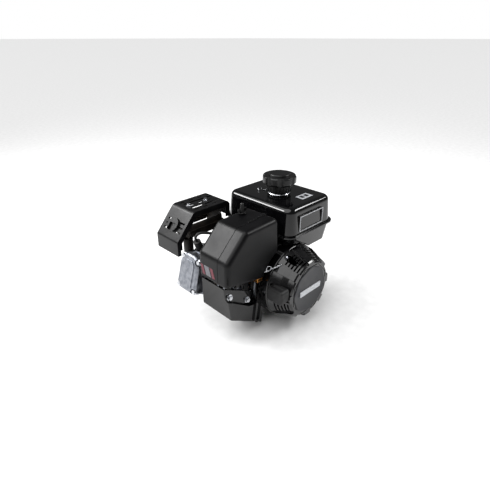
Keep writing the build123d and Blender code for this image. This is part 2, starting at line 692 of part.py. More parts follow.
def blower_housing():
    """Pressed-steel fan housing with the duct that leads air to the cylinder."""
    outer = drum_volume(0, HOUSING_BACK_Y) + duct_volume(0, DUCT_FRONT_Y, DUCT_BACK_Y)
    low_drum = rod_y(HOUSING_R, HOUSING_STEP_Y + 10, HOUSING_LOW_BACK_Y)
    outer += low_drum & box(-66, 120, -140, 0, 0, 160)
    pocket = prism_y(outline(POCKET_POINTS), DUCT_FRONT_Y - 1, POCKET_Y)
    pocket_back = prism_y(offset(outline(POCKET_POINTS), SHEET), DUCT_FRONT_Y - 1,
                          POCKET_Y + SHEET)
    shell = outer - drum_volume(SHEET, HOUSING_LOW_BACK_Y + 1)
    shell -= duct_volume(SHEET, DUCT_FRONT_Y + SHEET, DUCT_BACK_Y + 1)
    shell += (pocket_back - rod_y(HOUSING_R - 1, -140, -60)) & outer
    shell -= pocket
    top_line = prism_y(outline([(-182.2, 146), (-182.2, 190), (-60, 190), (-71.6, 89)]),
                       POCKET_Y + SHEET, DUCT_BACK_Y + 1)
    shell -= top_line - rod_y(HOUSING_R + 0.5, -140, -40)
    shell -= rod_y(70, HOUSING_FRONT_Y - 1, HOUSING_FRONT_Y + 3)
    shell -= box(-84, 60, CASE_FRONT_Y - 2, 0, 0, 200)
    shell += bead() - rod_y(HOUSING_STEP_R - 1, -140, -60)
    for x, z in HOUSING_EARS:
        shell += rod_y(7, HOUSING_LOW_BACK_Y - 8, CASE_FRONT_Y, x, z)
    for x, z in LEG_BOLTS:
        shell -= rod_y(3.0, DUCT_FRONT_Y - 1, POCKET_Y + 3, x, z)
    for x, _, z in RECOIL_BOLTS:
        shell -= rod_y(2.5, HOUSING_FRONT_Y - 1, HOUSING_FRONT_Y + 3, x, z)
    return keep_largest(shell)


def keep_largest(shape):
    """Drop slivers left by trimming and keep the one main solid."""
    return shape.solids().sort_by(SortBy.VOLUME)[-1]


RECOIL_BOLT_R = 78.0
RECOIL_BOLTS = [polar(RECOIL_BOLT_R, angle) for angle in (247.5, 22.5, 112.5)]


def leg_bolts():
    """Bright flange bolts in the corner pocket of the duct."""
    bolt = Rot(90, 0, 0) * flange_bolt(12)
    return group([Pos(x, POCKET_Y, z) * bolt for x, z in LEG_BOLTS])


def recoil_bolts():
    """Small bolts that hold the recoil cover."""
    bolt = Rot(90, 0, 0) * flange_bolt(6, 2.4)
    return group([Pos(x, HOUSING_FRONT_Y - 3, z) * bolt for x, _, z in RECOIL_BOLTS])


RECOIL_PROFILE = [(0, RECOIL_FACE_Y), (RECOIL_FACE_R - 3, RECOIL_FACE_Y),
                  (RECOIL_FACE_R, RECOIL_FACE_Y + 3), (70, -172), (77, -158),
                  (82, -146), (RECOIL_BASE_R, HOUSING_FRONT_Y), (0, HOUSING_FRONT_Y)]
RECOIL_INNER = [(0, RECOIL_FACE_Y + 3), (RECOIL_FACE_R - 5, RECOIL_FACE_Y + 3),
                (66.5, -171), (73.5, -157), (78.5, -145.5), (81, HOUSING_FRONT_Y),
                (0, HOUSING_FRONT_Y)]
PILLAR_PROFILE = [(50, RECOIL_FACE_Y), (69, RECOIL_FACE_Y), (71.5, RECOIL_FACE_Y + 3),
                  (75, -172), (81.5, -158), (86, -146), (87, HOUSING_FRONT_Y),
                  (78, HOUSING_FRONT_Y)]
HANDLE_POCKET = (-108.0, -69.0, -196.0, -139.0, 100.5, 135.5)
LOBES = 8
PLATE_R = 62.0
LOUVRE_Y = [-180.5, -173.5, -166.5, -159.5, -152.5]


def pillar(index):
    """Smooth rib that runs down the flank of the starter cover."""
    wide = box(45, 95, RECOIL_FACE_Y - 1, HOUSING_FRONT_Y, -9.5, 9.5)
    return Pos(0, 0, CRANK_HEIGHT) * Rot(0, -360 * index / LOBES, 0) * wide


def face_groove():
    """Channel round the raised eight-sided plate in the middle of the face."""
    wide = RegularPolygon(PLATE_R, LOBES) - RegularPolygon(PLATE_R - 2.6, LOBES)
    return prism_y(Pos(0, CRANK_HEIGHT) * Rot(0, 0, 22.5) * wide, RECOIL_FACE_Y - 2,
                   RECOIL_FACE_Y + 1.6)


def recoil_cover():
    """Starter cover with louvred flanks between smooth pillars and a flat centre."""
    outer = turned_y(RECOIL_PROFILE)
    inner = turned_y(RECOIL_INNER)
    ribs = turned_y(PILLAR_PROFILE)
    for index in range(LOBES):
        outer += ribs & pillar(index)
    x0, x1, y0, y1, z0, z1 = HANDLE_POCKET
    outer -= box(x0, x1, y0, y1, z0, z1)
    inner -= box(x0, x1 + 3, y0, y1 + 3, z0 - 3, z1 + 3)
    cover = outer - inner
    for y in LOUVRE_Y:
        ring = rod_y(110, y, y + 3.4) - rod_y(40, y - 1, y + 5)
        for index in range(LOBES):
            angle = 22.5 + 360 * index / LOBES
            if index == 3:
                continue
            wedge = Pos(0, 0, CRANK_HEIGHT) * Rot(0, -angle, 0) * box(
                55, 110, y - 1, y + 5, -17, 17)
            cover -= ring & wedge
    cover -= face_groove()
    cover += rod_y(8, RECOIL_FACE_Y + 2, -152)
    for x, _, z in RECOIL_BOLTS:
        cover += rod_y(8, HOUSING_FRONT_Y - 3, HOUSING_FRONT_Y, x, z)
        cover -= rod_y(8.5, HOUSING_FRONT_Y - 60, HOUSING_FRONT_Y - 3, x, z)
        cover -= rod_y(2.4, HOUSING_FRONT_Y - 4, HOUSING_FRONT_Y + 1, x, z)
    cover += rod_x(6, x1 + 2, x1 + 5, HANDLE_CENTRE[1], HANDLE_CENTRE[2])
    cover -= rod_x(2.6, x1 - 1, x1 + 6, HANDLE_CENTRE[1], HANDLE_CENTRE[2])
    cover += recoil_badge()
    return keep_largest(cover)


def recoil_badge():
    """Plain raised bar on the flat face of the starter cover."""
    bar = prism_y(Pos(0, CRANK_HEIGHT) * RectangleRounded(74, 15, 3),
                  RECOIL_FACE_Y - 1.2, RECOIL_FACE_Y + 0.5)
    return bar


def recoil_pulley():
    """Rope pulley with a deep groove and its two pawls."""
    y0 = PULLEY_Y - 8
    points = [(8.06, y0), (PULLEY_R, y0), (PULLEY_R, y0 + 2.5), (34, y0 + 4.5), (34, y0 + 11.5),
              (PULLEY_R, y0 + 13.5), (PULLEY_R, y0 + 16), (8.06, y0 + 16)]
    wheel = turned_y(points)
    for side in (-1, 1):
        wheel += box(side * 19 - 5, side * 19 + 5, y0 + 15.5, y0 + 20, CRANK_HEIGHT - 12,
                     CRANK_HEIGHT + 12)
    return wheel


def starter_rope():
    """Rope from the handle through the eyelet, then in to the pulley groove."""
    x1 = HANDLE_POCKET[1]
    y, z = HANDLE_CENTRE[1], HANDLE_CENTRE[2]
    bend = (x1 + 6.5, y, z)
    run = rod_x(ROPE_R, HANDLE_CENTRE[0] + HANDLE_SIZE[0] / 2, bend[0], y, z)
    reach = PULLEY_R + ROPE_R + 1.0
    end = polar(reach, 140, PULLEY_Y)
    leg = Line(bend, end)
    run += sweep(Plane(leg @ 0, z_dir=leg % 0) * Circle(ROPE_R), path=leg)
    return run + Pos(*bend) * Sphere(ROPE_R)


def starter_handle():
    """Moulded grip with rounded ends and finger ribs."""
    x, y, z = HANDLE_CENTRE
    dx, dy, dz = HANDLE_SIZE
    grip = Pos(x, y, z) * Box(dx, dy, dz)
    grip = fillet(grip.edges().filter_by(Axis.X), 7)
    grip = fillet(grip.edges().group_by(Axis.X)[0], 5)
    for side in (-1, 1):
        grip -= Pos(x, y, z + side * (dz / 2 + 5)) * Rot(90, 0, 0) * Cylinder(8, dy - 14)
    return grip


# ================================================================ ignition and switch
def ignition_coil():
    """Coil and laminated core facing the flywheel rim."""
    core = box(-20, 20, -94, -86, 186, 203) - rod_y(82.6, -100, -70)
    core &= rod_y(HOUSING_R - SHEET, -100, -70)
    coil = box(-11, 11, -98, -78, 190.5, 199.5)
    return core + coil


def cord_path(points):
    """Straight runs joined by tangent arcs as large as each pair of runs allows."""
    radii = []
    for before, here, after in zip(points, points[1:], points[2:]):
        run_in = Vector(*here) - Vector(*before)
        run_out = Vector(*after) - Vector(*here)
        half_turn = math.radians(run_in.get_angle(run_out)) / 2
        radii.append(0.45 * min(run_in.length, run_out.length) / math.tan(half_turn))
    print("cord bend radii", [round(radius, 1) for radius in radii])
    return FilletPolyline(*points, radius=radii)


def cord(points, radius):
    """Round cord along a hand-laid route."""
    path = cord_path(points)
    return sweep(Plane(path @ 0, z_dir=path % 0) * Circle(radius), path=path)


PLUG_LEAD_R = 3.0


def plug_lead():
    """High-tension lead from the coil, behind the air cleaner, to the plug boot."""
    end = (CYLINDER.location * Pos(*PLUG_SEAT) * Rot(-PLUG_LEAN, 0, 0) * Pos(0, 0, 44)).position
    rise = (CYLINDER.location * Pos(*PLUG_SEAT) * Rot(-PLUG_LEAN, 0, 0) * Pos(0, 0, 56)).position
    route = [(-11, -82, 194), (-18, -82, 194), (-26, -74, 191), (-30, -58, 192.5),
             (-33, -42, 198), (-42, -26, 202), (-70, -14, 207), (-104, -6, 215),
             (-132, 2, 226), (-150, 10, 229), tuple(rise), tuple(end)]
    return cord(route, PLUG_LEAD_R)


# ================================================================ fuel tank
def tank_outline(grow, radius):
    """Tank plan outline at the seam, grown by the given amount."""
    width = TANK_X1 - TANK_X0 + 2 * grow
    depth = TANK_Y1 - TANK_Y0 + 2 * grow
    centre = ((TANK_X0 + TANK_X1) / 2, (TANK_Y0 + TANK_Y1) / 2)
    return Pos(*centre) * RectangleRounded(width, depth, radius)


def tank_dome(grow, top):
    """Upper tank volume: a tapered block with a broad rounded shoulder."""
    dome = extrude(Plane.XY.offset(TANK_SEAM_Z) * tank_outline(grow, 26 + grow),
                   top - TANK_SEAM_Z, taper=5)
    return fillet(dome.edges().group_by(Axis.Z)[-1], 13 + grow)


def fuel_tank_upper():
    """Upper half of the tank with seam flange, filler neck and a plain framed panel."""
    shell = tank_dome(0, TANK_TOP_Z)
    shell += prism_z(tank_outline(TANK_FLANGE, 30), TANK_SEAM_Z, TANK_SEAM_Z + SHEET)
    panel = prism_y(outline([(14, 224), (100, 224), (100, 262), (14, 262)], 4), -137.4, -126)
    panel -= prism_y(outline([(18, 228), (96, 228), (96, 258), (18, 258)], 3), -140, -120)
    shell += panel
    shell += rod_z(NECK_R, TANK_TOP_Z - 3, NECK_TOP_Z, CAP_X, CAP_Y)
    shell += rod_z(NECK_R + 5, TANK_TOP_Z - 2, TANK_TOP_Z + 2, CAP_X, CAP_Y)
    shell -= tank_dome(-TANK_WALL, TANK_TOP_Z - TANK_WALL)
    shell -= prism_z(tank_outline(-TANK_WALL, 24), TANK_SEAM_Z - 1, TANK_SEAM_Z + 2)
    shell -= rod_z(NECK_R - 2, TANK_TOP_Z - 10, TANK_TOP_Z + 10, CAP_X, CAP_Y)
    return shell


def tank_notch(grow):
    """Stepped hollow that clears the fan housing and the starter."""
    notch = rod_y(TANK_NOTCH_R - grow, HOUSING_STEP_Y - 4 + grow, -62 - grow)
    return notch + rod_y(TANK_NOTCH_STEP_R - grow, -160, HOUSING_STEP_Y + grow)


def tank_tub(grow, bottom):
    """Lower tank volume, tapering to its floor and notched over the fan housing."""
    tub = extrude(Plane.XY.offset(TANK_SEAM_Z) * tank_outline(grow, 26 + grow),
                  TANK_SEAM_Z - bottom, dir=(0, 0, -1), taper=11)
    return tub - tank_notch(grow)


TANK_OUTLET = (2, -54)


def fuel_tank_lower():
    """Lower half of the tank with seam flange."""
    shell = tank_tub(0, TANK_BOTTOM_Z)
    lip = prism_z(tank_outline(TANK_FLANGE, 30), TANK_SEAM_Z - SHEET, TANK_SEAM_Z)
    shell += lip - tank_notch(0)
    shell -= tank_tub(-TANK_WALL, TANK_BOTTOM_Z + TANK_WALL)
    shell -= rod_z(2, TANK_BOTTOM_Z - 1, TANK_BOTTOM_Z + 3, TANK_OUTLET[0], TANK_OUTLET[1])
    return keep_largest(shell)


def fuel_strainer():
    """Cup-shaped strainer hanging in the filler neck."""
    cup = rod_z(17, TANK_TOP_Z - 38, NECK_TOP_Z, CAP_X, CAP_Y)
    cup += rod_z(21, NECK_TOP_Z, NECK_TOP_Z + 1, CAP_X, CAP_Y)
    return cup - rod_z(15.8, TANK_TOP_Z - 36.8, TANK_TOP_Z + 12, CAP_X, CAP_Y)


def cap_retainer():
    """Gasket and retainer plate carried under the cap."""
    ring = rod_z(21.5, NECK_TOP_Z + 1.3, NECK_TOP_Z + 4, CAP_X, CAP_Y)
    return ring + rod_z(14, NECK_TOP_Z + 4, NECK_TOP_Z + 6, CAP_X, CAP_Y)


def fuel_cap():
    """Cap with a fluted skirt under a broad lobed head."""
    skirt = rod_z(CAP_SKIRT_R, CAP_BOTTOM_Z, CAP_TOP_Z - 24, CAP_X, CAP_Y)
    head = rod_z(CAP_HEAD_R, CAP_TOP_Z - 25, CAP_TOP_Z - 4, CAP_X, CAP_Y)
    head = chamfer(head.edges().group_by(Axis.Z)[0], 5)
    head = fillet(head.edges().group_by(Axis.Z)[-1], 5)
    for index in range(8):
        angle = math.radians(45 * index)
        x = CAP_X + (CAP_HEAD_R + 7) * math.cos(angle)
        y = CAP_Y + (CAP_HEAD_R + 7) * math.sin(angle)
        head -= rod_z(11, CAP_TOP_Z - 30, CAP_TOP_Z, x, y)
    for index in range(24):
        angle = math.radians(15 * index)
        x = CAP_X + (CAP_SKIRT_R + 0.8) * math.cos(angle)
        y = CAP_Y + (CAP_SKIRT_R + 0.8) * math.sin(angle)
        skirt -= rod_z(2, CAP_BOTTOM_Z - 1, CAP_TOP_Z - 25, x, y)
    crown = rod_z(25, CAP_TOP_Z - 5, CAP_TOP_Z, CAP_X, CAP_Y)
    crown = fillet(crown.edges().group_by(Axis.Z)[-1], 3)
    cap = skirt + head + crown
    return cap - rod_z(24, CAP_BOTTOM_Z - 1, NECK_TOP_Z + 6.2, CAP_X, CAP_Y)


def fuel_hose():
    """Rubber fuel hose from the tank outlet to the fuel valve."""
    x, y = TANK_OUTLET
    route = [(x, y, TANK_BOTTOM_Z), (x, y, 161), (x - 11, y - 3, 152), (-34, -58, 147),
             (-62, -58, 145), (-84, -60, 144), (-100, -69, 141), (FUEL_VALVE_X, -84, 138),
             (FUEL_VALVE_X, -84, FUEL_VALVE_Z + 7)]
    return cord(route, 3.5)


# ================================================================ air cleaner
def cleaner_points(shrink):
    """Section of the air cleaner in (x, z), drawn inward by the given amount."""
    s = shrink
    radius = HOUSING_R + 3.5 + s
    right = -38 - s
    start = math.degrees(math.acos(right / radius))
    finish = 156.0
    points = [(CLEANER_LEFT_X + s, 162 + 1.2 * s), (CLEANER_LEFT_X + s, 217 - 0.4 * s),
              (-138 + 0.4 * s, 271 - s), (-43 - s, CLEANER_TOP_Z + 1 - s)]
    for index in range(10):
        angle = math.radians(start + (finish - start) * index / 9)
        points.append((radius * math.cos(angle), CRANK_HEIGHT + radius * math.sin(angle)))
    points.append((-99 - 0.5 * s, 144 + 1.2 * s))
    return points


def cleaner_solid(shrink):
    """Air cleaner volume with rounded slope, corners and edges."""
    radii = [6, 16, 14, 12] + [0] * 11
    sketch = outline(cleaner_points(shrink), [max(r - shrink, 2) if r else 0 for r in radii])
    body = prism_y(sketch, CLEANER_Y0 + shrink, CLEANER_Y1 - shrink)
    middle = (CLEANER_Y0 + CLEANER_Y1) / 2
    half = (CLEANER_Y1 - CLEANER_Y0) / 2 - shrink
    rim = [edge for edge in body.edges()
           if abs(abs(edge.center().Y - middle) - half) < 0.01
           and (edge.center().Z > 212 or edge.center().X < CLEANER_LEFT_X + shrink + 0.5)
           and edge.center().X < -44]
    body = fillet(rim, 11 - shrink)
    return body - box(CLEANER_STEP_X - shrink, 20, CLEANER_STEP_Y - shrink, 0, 100,
                      CLEANER_STEP_Z + shrink)


def air_cleaner_cover():
    """Deep moulded cover, open below, with a hole for the stud."""
    cover = cleaner_solid(0) - cleaner_solid(CLEANER_WALL)
    open_floor = offset(outline(cleaner_points(0)), -CLEANER_WALL)
    cover -= prism_y(Pos(0, -8) * open_floor, CLEANER_Y0 + CLEANER_WALL,
                     CLEANER_STEP_Y - CLEANER_WALL) & box(-200, 0, -140, 0, 100, 190)
    groove = prism_y(outline([(-230, 100), (20, 100), (20, 300), (-230, 300)]),
                     CLEANER_GROOVE_Y - 0.6, CLEANER_GROOVE_Y + 0.6)
    cover -= groove - cleaner_solid(0.8)
    cover -= rod_z(4.0, 230, 290, STUD_X, STUD_Y)
    return cover


def air_cleaner_base():
    """Tray under the cover with an air box, two bolted legs and a spigot to the carburettor."""
    gap = CLEANER_WALL + 0.6
    low = box(-200, 0, -140, 0, 100, CLEANER_DECK_Z)
    tray = cleaner_solid(gap) & low
    tray -= box(-200, 0, CLEANER_STEP_Y - gap, 0, 100, CLEANER_DECK_Z + 1)
    tray -= cleaner_solid(gap + 2.5) & box(-200, 0, -140, 0, 100, CLEANER_DECK_Z - 2.5)
    tray -= box(-160, -88, -106, -62, CLEANER_DECK_Z - 4, CLEANER_DECK_Z + 1)
    for x, z in LEG_BOLTS:
        top = 152 + (-x - 99) * 0.19
        leg = box(x - 7, x + 7, POCKET_Y + SHEET, POCKET_Y + SHEET + 4, z - 9, top)
        leg -= rod_y(3.0, POCKET_Y - 1, POCKET_Y + 8, x, z)
        tray += leg
    tray += rod_z(12, CARB_Z + 14, 160, CARB_X, ELBOW_Y)
    tray -= rod_z(9.5, CARB_Z + 13, 162, CARB_X, ELBOW_Y)
    tray += rod_z(5.5, CLEANER_DECK_Z - 14, CLEANER_DECK_Z - 2, STUD_X, STUD_Y)
    return tray - rod_z(3.0, CLEANER_DECK_Z - 10, CLEANER_DECK_Z + 2, STUD_X, STUD_Y)


def cover_stud():
    """Upright stud that the cover knob screws on."""
    return rod_z(3.0, CLEANER_DECK_Z - 10, STUD_TOP, STUD_X, STUD_Y)


FILTER_CENTRE = (-112, -84)


def filter_element():
    """Pleated paper ring on the base deck."""
    pleats = []
    frame = Pos(*FILTER_CENTRE) * RectangleRounded(95, 66, 16)
    rim = Pos(*FILTER_CENTRE) * RectangleRounded(98, 68, 16)
    hole = Pos(-118, -84) * RectangleRounded(58, 38, 8)
    ring = prism_z(frame, CLEANER_DECK_Z + 4, 238) - prism_z(hole, CLEANER_DECK_Z, 240)
    for index in range(11):
        x = -148 + index * 8
        pleats.append(box(x - 1.2, x + 1.2, -118, -114.5, CLEANER_DECK_Z + 5, 237))
    for part in pleats:
        ring -= part
    plate = prism_z(rim, CLEANER_DECK_Z, CLEANER_DECK_Z + 4)
    plate -= prism_z(hole, CLEANER_DECK_Z - 1, CLEANER_DECK_Z + 5)
    lid = prism_z(rim, 238, 241)
    element = ring + plate + lid
    return element - rod_z(4.0, CLEANER_DECK_Z - 1, 245, STUD_X, STUD_Y)


def cover_knob():
    """Slim knob with two finger wings that clamps the cover."""
    base = CLEANER_TOP_Z + 1.5
    knob = rod_z(9, base, base + 2, STUD_X, STUD_Y) + rod_z(5.5, base + 1, base + 10, STUD_X, STUD_Y)
    knob += rod_z(4.5, base + 9, base + 16, STUD_X, STUD_Y)
    knob += rod_z(3.5, base + 15, base + 22, STUD_X, STUD_Y)
    knob += box(STUD_X - 12, STUD_X + 12, STUD_Y - 2, STUD_Y + 2, base + 3, base + 9)
    return knob - rod_z(3.05, base - 1, STUD_TOP + 0.3, STUD_X, STUD_Y)


# ================================================================ carburettor and intake
def insulator():
    """Heat-insulating block between head and carburettor."""
    block = box(CARB_X - 20, CARB_X + 20, -54, -44, CARB_Z - 13, CARB_Z + 13)
    block = fillet(block.edges().filter_by(Axis.Y), 5)
    return block - rod_y(8.5, -55, -43, CARB_X, CARB_Z)


def carburettor_body():
    """Die-cast body with its bore, flange, inlet elbow and float chamber seat."""
    body = rod_y(13, ELBOW_Y, -54, CARB_X, CARB_Z)
    body += box(CARB_X - 10, CARB_X + 22, -88, -62, CARB_Z - 16, CARB_Z + 5)
    flange = box(CARB_X - 20, CARB_X + 20, -59, -54, CARB_Z - 13, CARB_Z + 13)
    body += fillet(flange.edges().filter_by(Axis.Y), 5)
    body += rod_z(12.5, CARB_Z - 15, CARB_Z + 14, CARB_X, ELBOW_Y)
    body += rod_z(18, CARB_Z - 22, CARB_Z - 15, BOWL_X, BOWL_Y)
    body += rod_y(5, -100, ELBOW_Y, CHOKE_X, CHOKE_Z)
    body -= rod_y(9, ELBOW_Y - 2, -53, CARB_X, CARB_Z)
    body -= rod_z(9.5, CARB_Z - 6, CARB_Z + 15, CARB_X, ELBOW_Y)
    body -= rod_z(2.55, CARB_Z + 2, CARB_Z + 15, CARB_X, THROTTLE_Y)
    return body - rod_y(2.55, -101, ELBOW_Y - 6, CHOKE_X, CHOKE_Z)


def float_bowl():
    """Pressed float bowl with its drain screw."""
    top = CARB_Z - 22
    bowl = rod_z(19.5, top - 25, top, BOWL_X, BOWL_Y)
    bowl = fillet(bowl.edges().group_by(Axis.Z)[0], 6)
    bowl -= rod_z(18, top - 22, top + 1, BOWL_X, BOWL_Y)
    return bowl + rod_z(5, top - 30, top - 22, BOWL_X, BOWL_Y)


def throttle_lever():
    """Throttle shaft with its arm on top of the carburettor."""
    lever = rod_z(2.5, CARB_Z + 9.5, CARB_Z + 17, CARB_X, THROTTLE_Y)
    arm = prism_z(Pos(CARB_X + 8, THROTTLE_Y) * SlotOverall(24, 8), CARB_Z + 14.6, CARB_Z + 16.4)
    return lever + arm


def choke_lever():
    """Choke shaft and finger lever in front of the carburettor."""
    lever = rod_y(2.5, -105, -93, CHOKE_X, CHOKE_Z)
    arm = prism_y(Pos(CHOKE_X + 7, CHOKE_Z + 0.8) * Rot(0, 0, 6) * SlotOverall(23, 8),
                  -103.4, -101)
    tip = prism_y(Pos(CHOKE_X + 15, CHOKE_Z + 1.6) * RectangleRounded(8, 8, 2), -107, -101)
    return lever + arm + tip


def fuel_valve_lever():
    """Fuel shut-off lever in front of the fuel valve."""
    lever = rod_y(3.4, -104, -97.2, FUEL_VALVE_X, FUEL_VALVE_Z)
    arm = prism_y(Pos(FUEL_VALVE_X, FUEL_VALVE_Z + 8) * Rot(0, 0, 90) * SlotOverall(24, 7),
                  -108, -104)
    return lever + arm


def fuel_valve():
    """Brass fuel valve with its hose spigot and its joint to the carburettor."""
    body = rod_y(5, -97, -80, FUEL_VALVE_X, FUEL_VALVE_Z)
    body += rod_x(3.5, CARB_X + 22, FUEL_VALVE_X, -84, FUEL_VALVE_Z)
    return body + rod_z(3, FUEL_VALVE_Z, FUEL_VALVE_Z + 7, FUEL_VALVE_X, -84)


# ================================================================ exhaust
MUFFLER_BOX = (-145.0, -44.0, 50.0, 112.0, 192.0, 242.0)
EXHAUST_X = -138.0
EXHAUST_Z = 150.0





def exhaust_elbow(radius, reach):
    """Elbow between the exhaust port and the muffler floor."""
    y = 68
    elbow = rod_y(radius, 46 - reach, y, EXHAUST_X, EXHAUST_Z) + Pos(EXHAUST_X, y, EXHAUST_Z) * Sphere(radius)
    return elbow + rod_z(radius, EXHAUST_Z, MUFFLER_BOX[4] + 1 + 3 * reach, EXHAUST_X, y)


def muffler():
    """Pressed muffler box with seam and outlet stub."""
    x0, x1, y0, y1, z0, z1 = MUFFLER_BOX
    body = box(x0, x1, y0, y1, z0, z1)
    body = fillet(body.edges().filter_by(Axis.X), 18)
    body = fillet(body.edges(), 5)
    seam = box(x0 - 3, x1 + 3, y0 - 3, y1 + 3, 216, 218.5)
    body += fillet(seam.edges().filter_by(Axis.Z), 6)
    body -= box(x0 + 2, x1 - 2, y0 + 2, y1 - 2, z0 + 2, z1 - 2)
    body += rod_x(9, x0 - 10, x0 + 1, 84, 226)
    body -= rod_x(7.5, x0 - 11, x0 + 3, 84, 226)
    body += exhaust_elbow(11.5, 0)
    body -= exhaust_elbow(9, 1)
    for x in (-120, -70):
        body += box(x - 6, x + 6, 76, 88, z1 - 1, GUARD_TOP_Z - GUARD_SHEET)
    return body


GUARD_POINTS = [(-187, 171), (-187, 205), (-136, GUARD_TOP_Z), (GUARD_RIGHT_X, GUARD_TOP_Z),
                (GUARD_RIGHT_X, 210), (GUARD_RIGHT_X - 8, 171)]


def muffler_guard():
    """Pressed guard over the muffler with long slots, punched holes and an outlet hood."""
    sketch = outline(GUARD_POINTS, [0, 8, 16, 12, 6, 0])
    solid = prism_y(sketch, GUARD_Y0, GUARD_Y1)
    inner = prism_y(offset(sketch, -GUARD_SHEET), GUARD_Y0 + GUARD_SHEET, GUARD_Y1 - GUARD_SHEET)
    shell = solid - inner
    band = prism_y(offset(outline(GUARD_POINTS, [0, 8, 16, 12, 6, 0]), -13), GUARD_Y0 - 1,
                   GUARD_Y1 + 1)
    low = box(-200, 0, GUARD_Y0 - 1, GUARD_Y1 + 1, 160, 184)
    shell -= band
    shell -= low & box(-178, 0, GUARD_Y0 - 1, GUARD_Y1 + 1, 160, 184)
    shell -= box(-60, 0, GUARD_Y0 - 1, GUARD_Y1 + 1, 160, 225)
    for y in (66, 96):
        slot = Pos(-77, y) * SlotOverall(92, 6)
        shell -= prism_z(slot, GUARD_TOP_Z - 3, GUARD_TOP_Z + 3)
    for row in range(3):
        for column in range(4):
            x = -118 + column * 26 + 6 * (row % 2)
            y = 54 + row * 27
            shell -= prism_z(Pos(x, y) * SlotOverall(13, 4.5), GUARD_TOP_Z - 3, GUARD_TOP_Z + 3)
    slope = math.degrees(math.atan2(GUARD_TOP_Z - 205, 51))
    for y in (58, 100):
        for step in (-17, -6, 5):
            cut = Pos(-161.5, y, 234.5) * Rot(0, -slope, 0) * Pos(step, 0, 0) * Box(4, 18, 10)
            shell -= cut
    hood = Pos(-165, 81, 230) * Rot(0, -slope, 0) * (
        Cylinder(17, 12) - Pos(0, 0, -1.5) * Cylinder(15.5, 12))
    shell += hood & box(-200, -100, GUARD_Y0, GUARD_Y1, 206, 262)
    shell -= Pos(-165, 81, 230) * Rot(0, -slope, 0) * Pos(-9, 0, 4) * Box(26, 20, 5)
    for x in (-120, -70):
        shell -= rod_z(2.4, GUARD_TOP_Z - 3, GUARD_TOP_Z + 1, x, 82)
    return keep_largest(shell)


def guard_screws():
    """Screws through the guard into the muffler posts."""
    bolt = flange_bolt(GUARD_SHEET, 2.4)
    return group([Pos(x, 82, GUARD_TOP_Z) * bolt for x in (-120, -70)])


# ================================================================ speed control
def control_plate():
    """Bracket on the crankcase roof that carries the speed control pivot."""
    plate = box(-48, 6, -40, -12, 163, 165)
    plate += rod_z(3, 164, 171, PIVOT_X, PIVOT_Y)
    for x in (-44, 0):
        plate += box(x - 3, x + 3, -34, -18, 150, 164)
    return plate - prism_y(outline(CASE_POINTS, CASE_RADII), CASE_FRONT_Y, CASE_JOINT_Y)


def control_lever():
    """Hand lever of the speed control, on the plate pivot."""
    arm = prism_z(Pos(PIVOT_X + 2, PIVOT_Y - 16) * Rot(0, 0, 83) * SlotOverall(42, 10), 165.3, 167.3)
    knob = rod_z(5, 166, 174, PIVOT_X + 4, PIVOT_Y - 32)
    return arm + knob - rod_z(3.05, 165, 170, PIVOT_X, PIVOT_Y)


BUILDERS = {
    "crankcase": crankcase,
    "crankcase_cover": crankcase_cover,
    "cover_bolts": cover_bolts,
    "oil_plugs": oil_plugs,
    "crankshaft": crankshaft,
    "crankpin": crankpin,
    "connecting_rod": connecting_rod,
    "piston": piston,
    "wrist_pin": wrist_pin,
    "main_bearings": main_bearings,
    "oil_seals": oil_seals,
    "camshaft": camshaft,
    "tappets": tappets,
    "valves": valves,
    "valve_springs": valve_springs,
    "rocker_arms": rocker_arms,
    "cylinder_head": cylinder_head,
    "head_bolts": head_bolts,
    "rocker_cover": rocker_cover,
    "rocker_cover_bolts": rocker_cover_bolts,
    "spark_plug": spark_plug,
    "spark_plug_cap": spark_plug_cap,
    "plug_lead": plug_lead,
    "ignition_coil": ignition_coil,
    "flywheel": flywheel,
    "cooling_fan": cooling_fan,
    "starter_cup": starter_cup,
    "flywheel_nut": flywheel_nut,
    "blower_housing": blower_housing,
    "leg_bolts": leg_bolts,
    "recoil_bolts": recoil_bolts,
    "recoil_cover": recoil_cover,
    "recoil_pulley": recoil_pulley,
    "starter_rope": starter_rope,
    "starter_handle": starter_handle,
    "fuel_tank_upper": fuel_tank_upper,
    "fuel_tank_lower": fuel_tank_lower,
    "fuel_strainer": fuel_strainer,
    "cap_retainer": cap_retainer,
    "fuel_cap": fuel_cap,
    "fuel_hose": fuel_hose,
    "air_cleaner_base": air_cleaner_base,
    "filter_element": filter_element,
    "cover_stud": cover_stud,
    "air_cleaner_cover": air_cleaner_cover,
    "cover_knob": cover_knob,
    "insulator": insulator,
    "carburettor_body": carburettor_body,
    "float_bowl": float_bowl,
    "throttle_lever": throttle_lever,
    "choke_lever": choke_lever,
    "fuel_valve": fuel_valve,
    "fuel_valve_lever": fuel_valve_lever,
    "muffler": muffler,
    "muffler_guard": muffler_guard,
    "guard_screws": guard_screws,
    "control_plate": control_plate,
    "control_lever": control_lever,
}


def main():
    """Build every piece and write it out."""
    os.makedirs("parts", exist_ok=True)
    for node, builder in BUILDERS.items():
        save(node, builder())


main()
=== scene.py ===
# %% [markdown]
# # A small gasoline engine, piece by piece
# The engine's solids come in as a fixed frame, already in metres and in the right place. This lesson gives
# each of them the finish that the real part has. It then adds small shaped pieces: the starter's centre
# plate and bar, printed stripes and labels, a pale line painted round the tank's panel as the highlight on
# its edge, a winged knob, raised ribs, the throttle rod and its clamp, the cap's tether, the starter rope
# and the ring under the cap.

# %% Load the engine
import json
import math

import bmesh
import bpy
from mathutils import Matrix, Vector


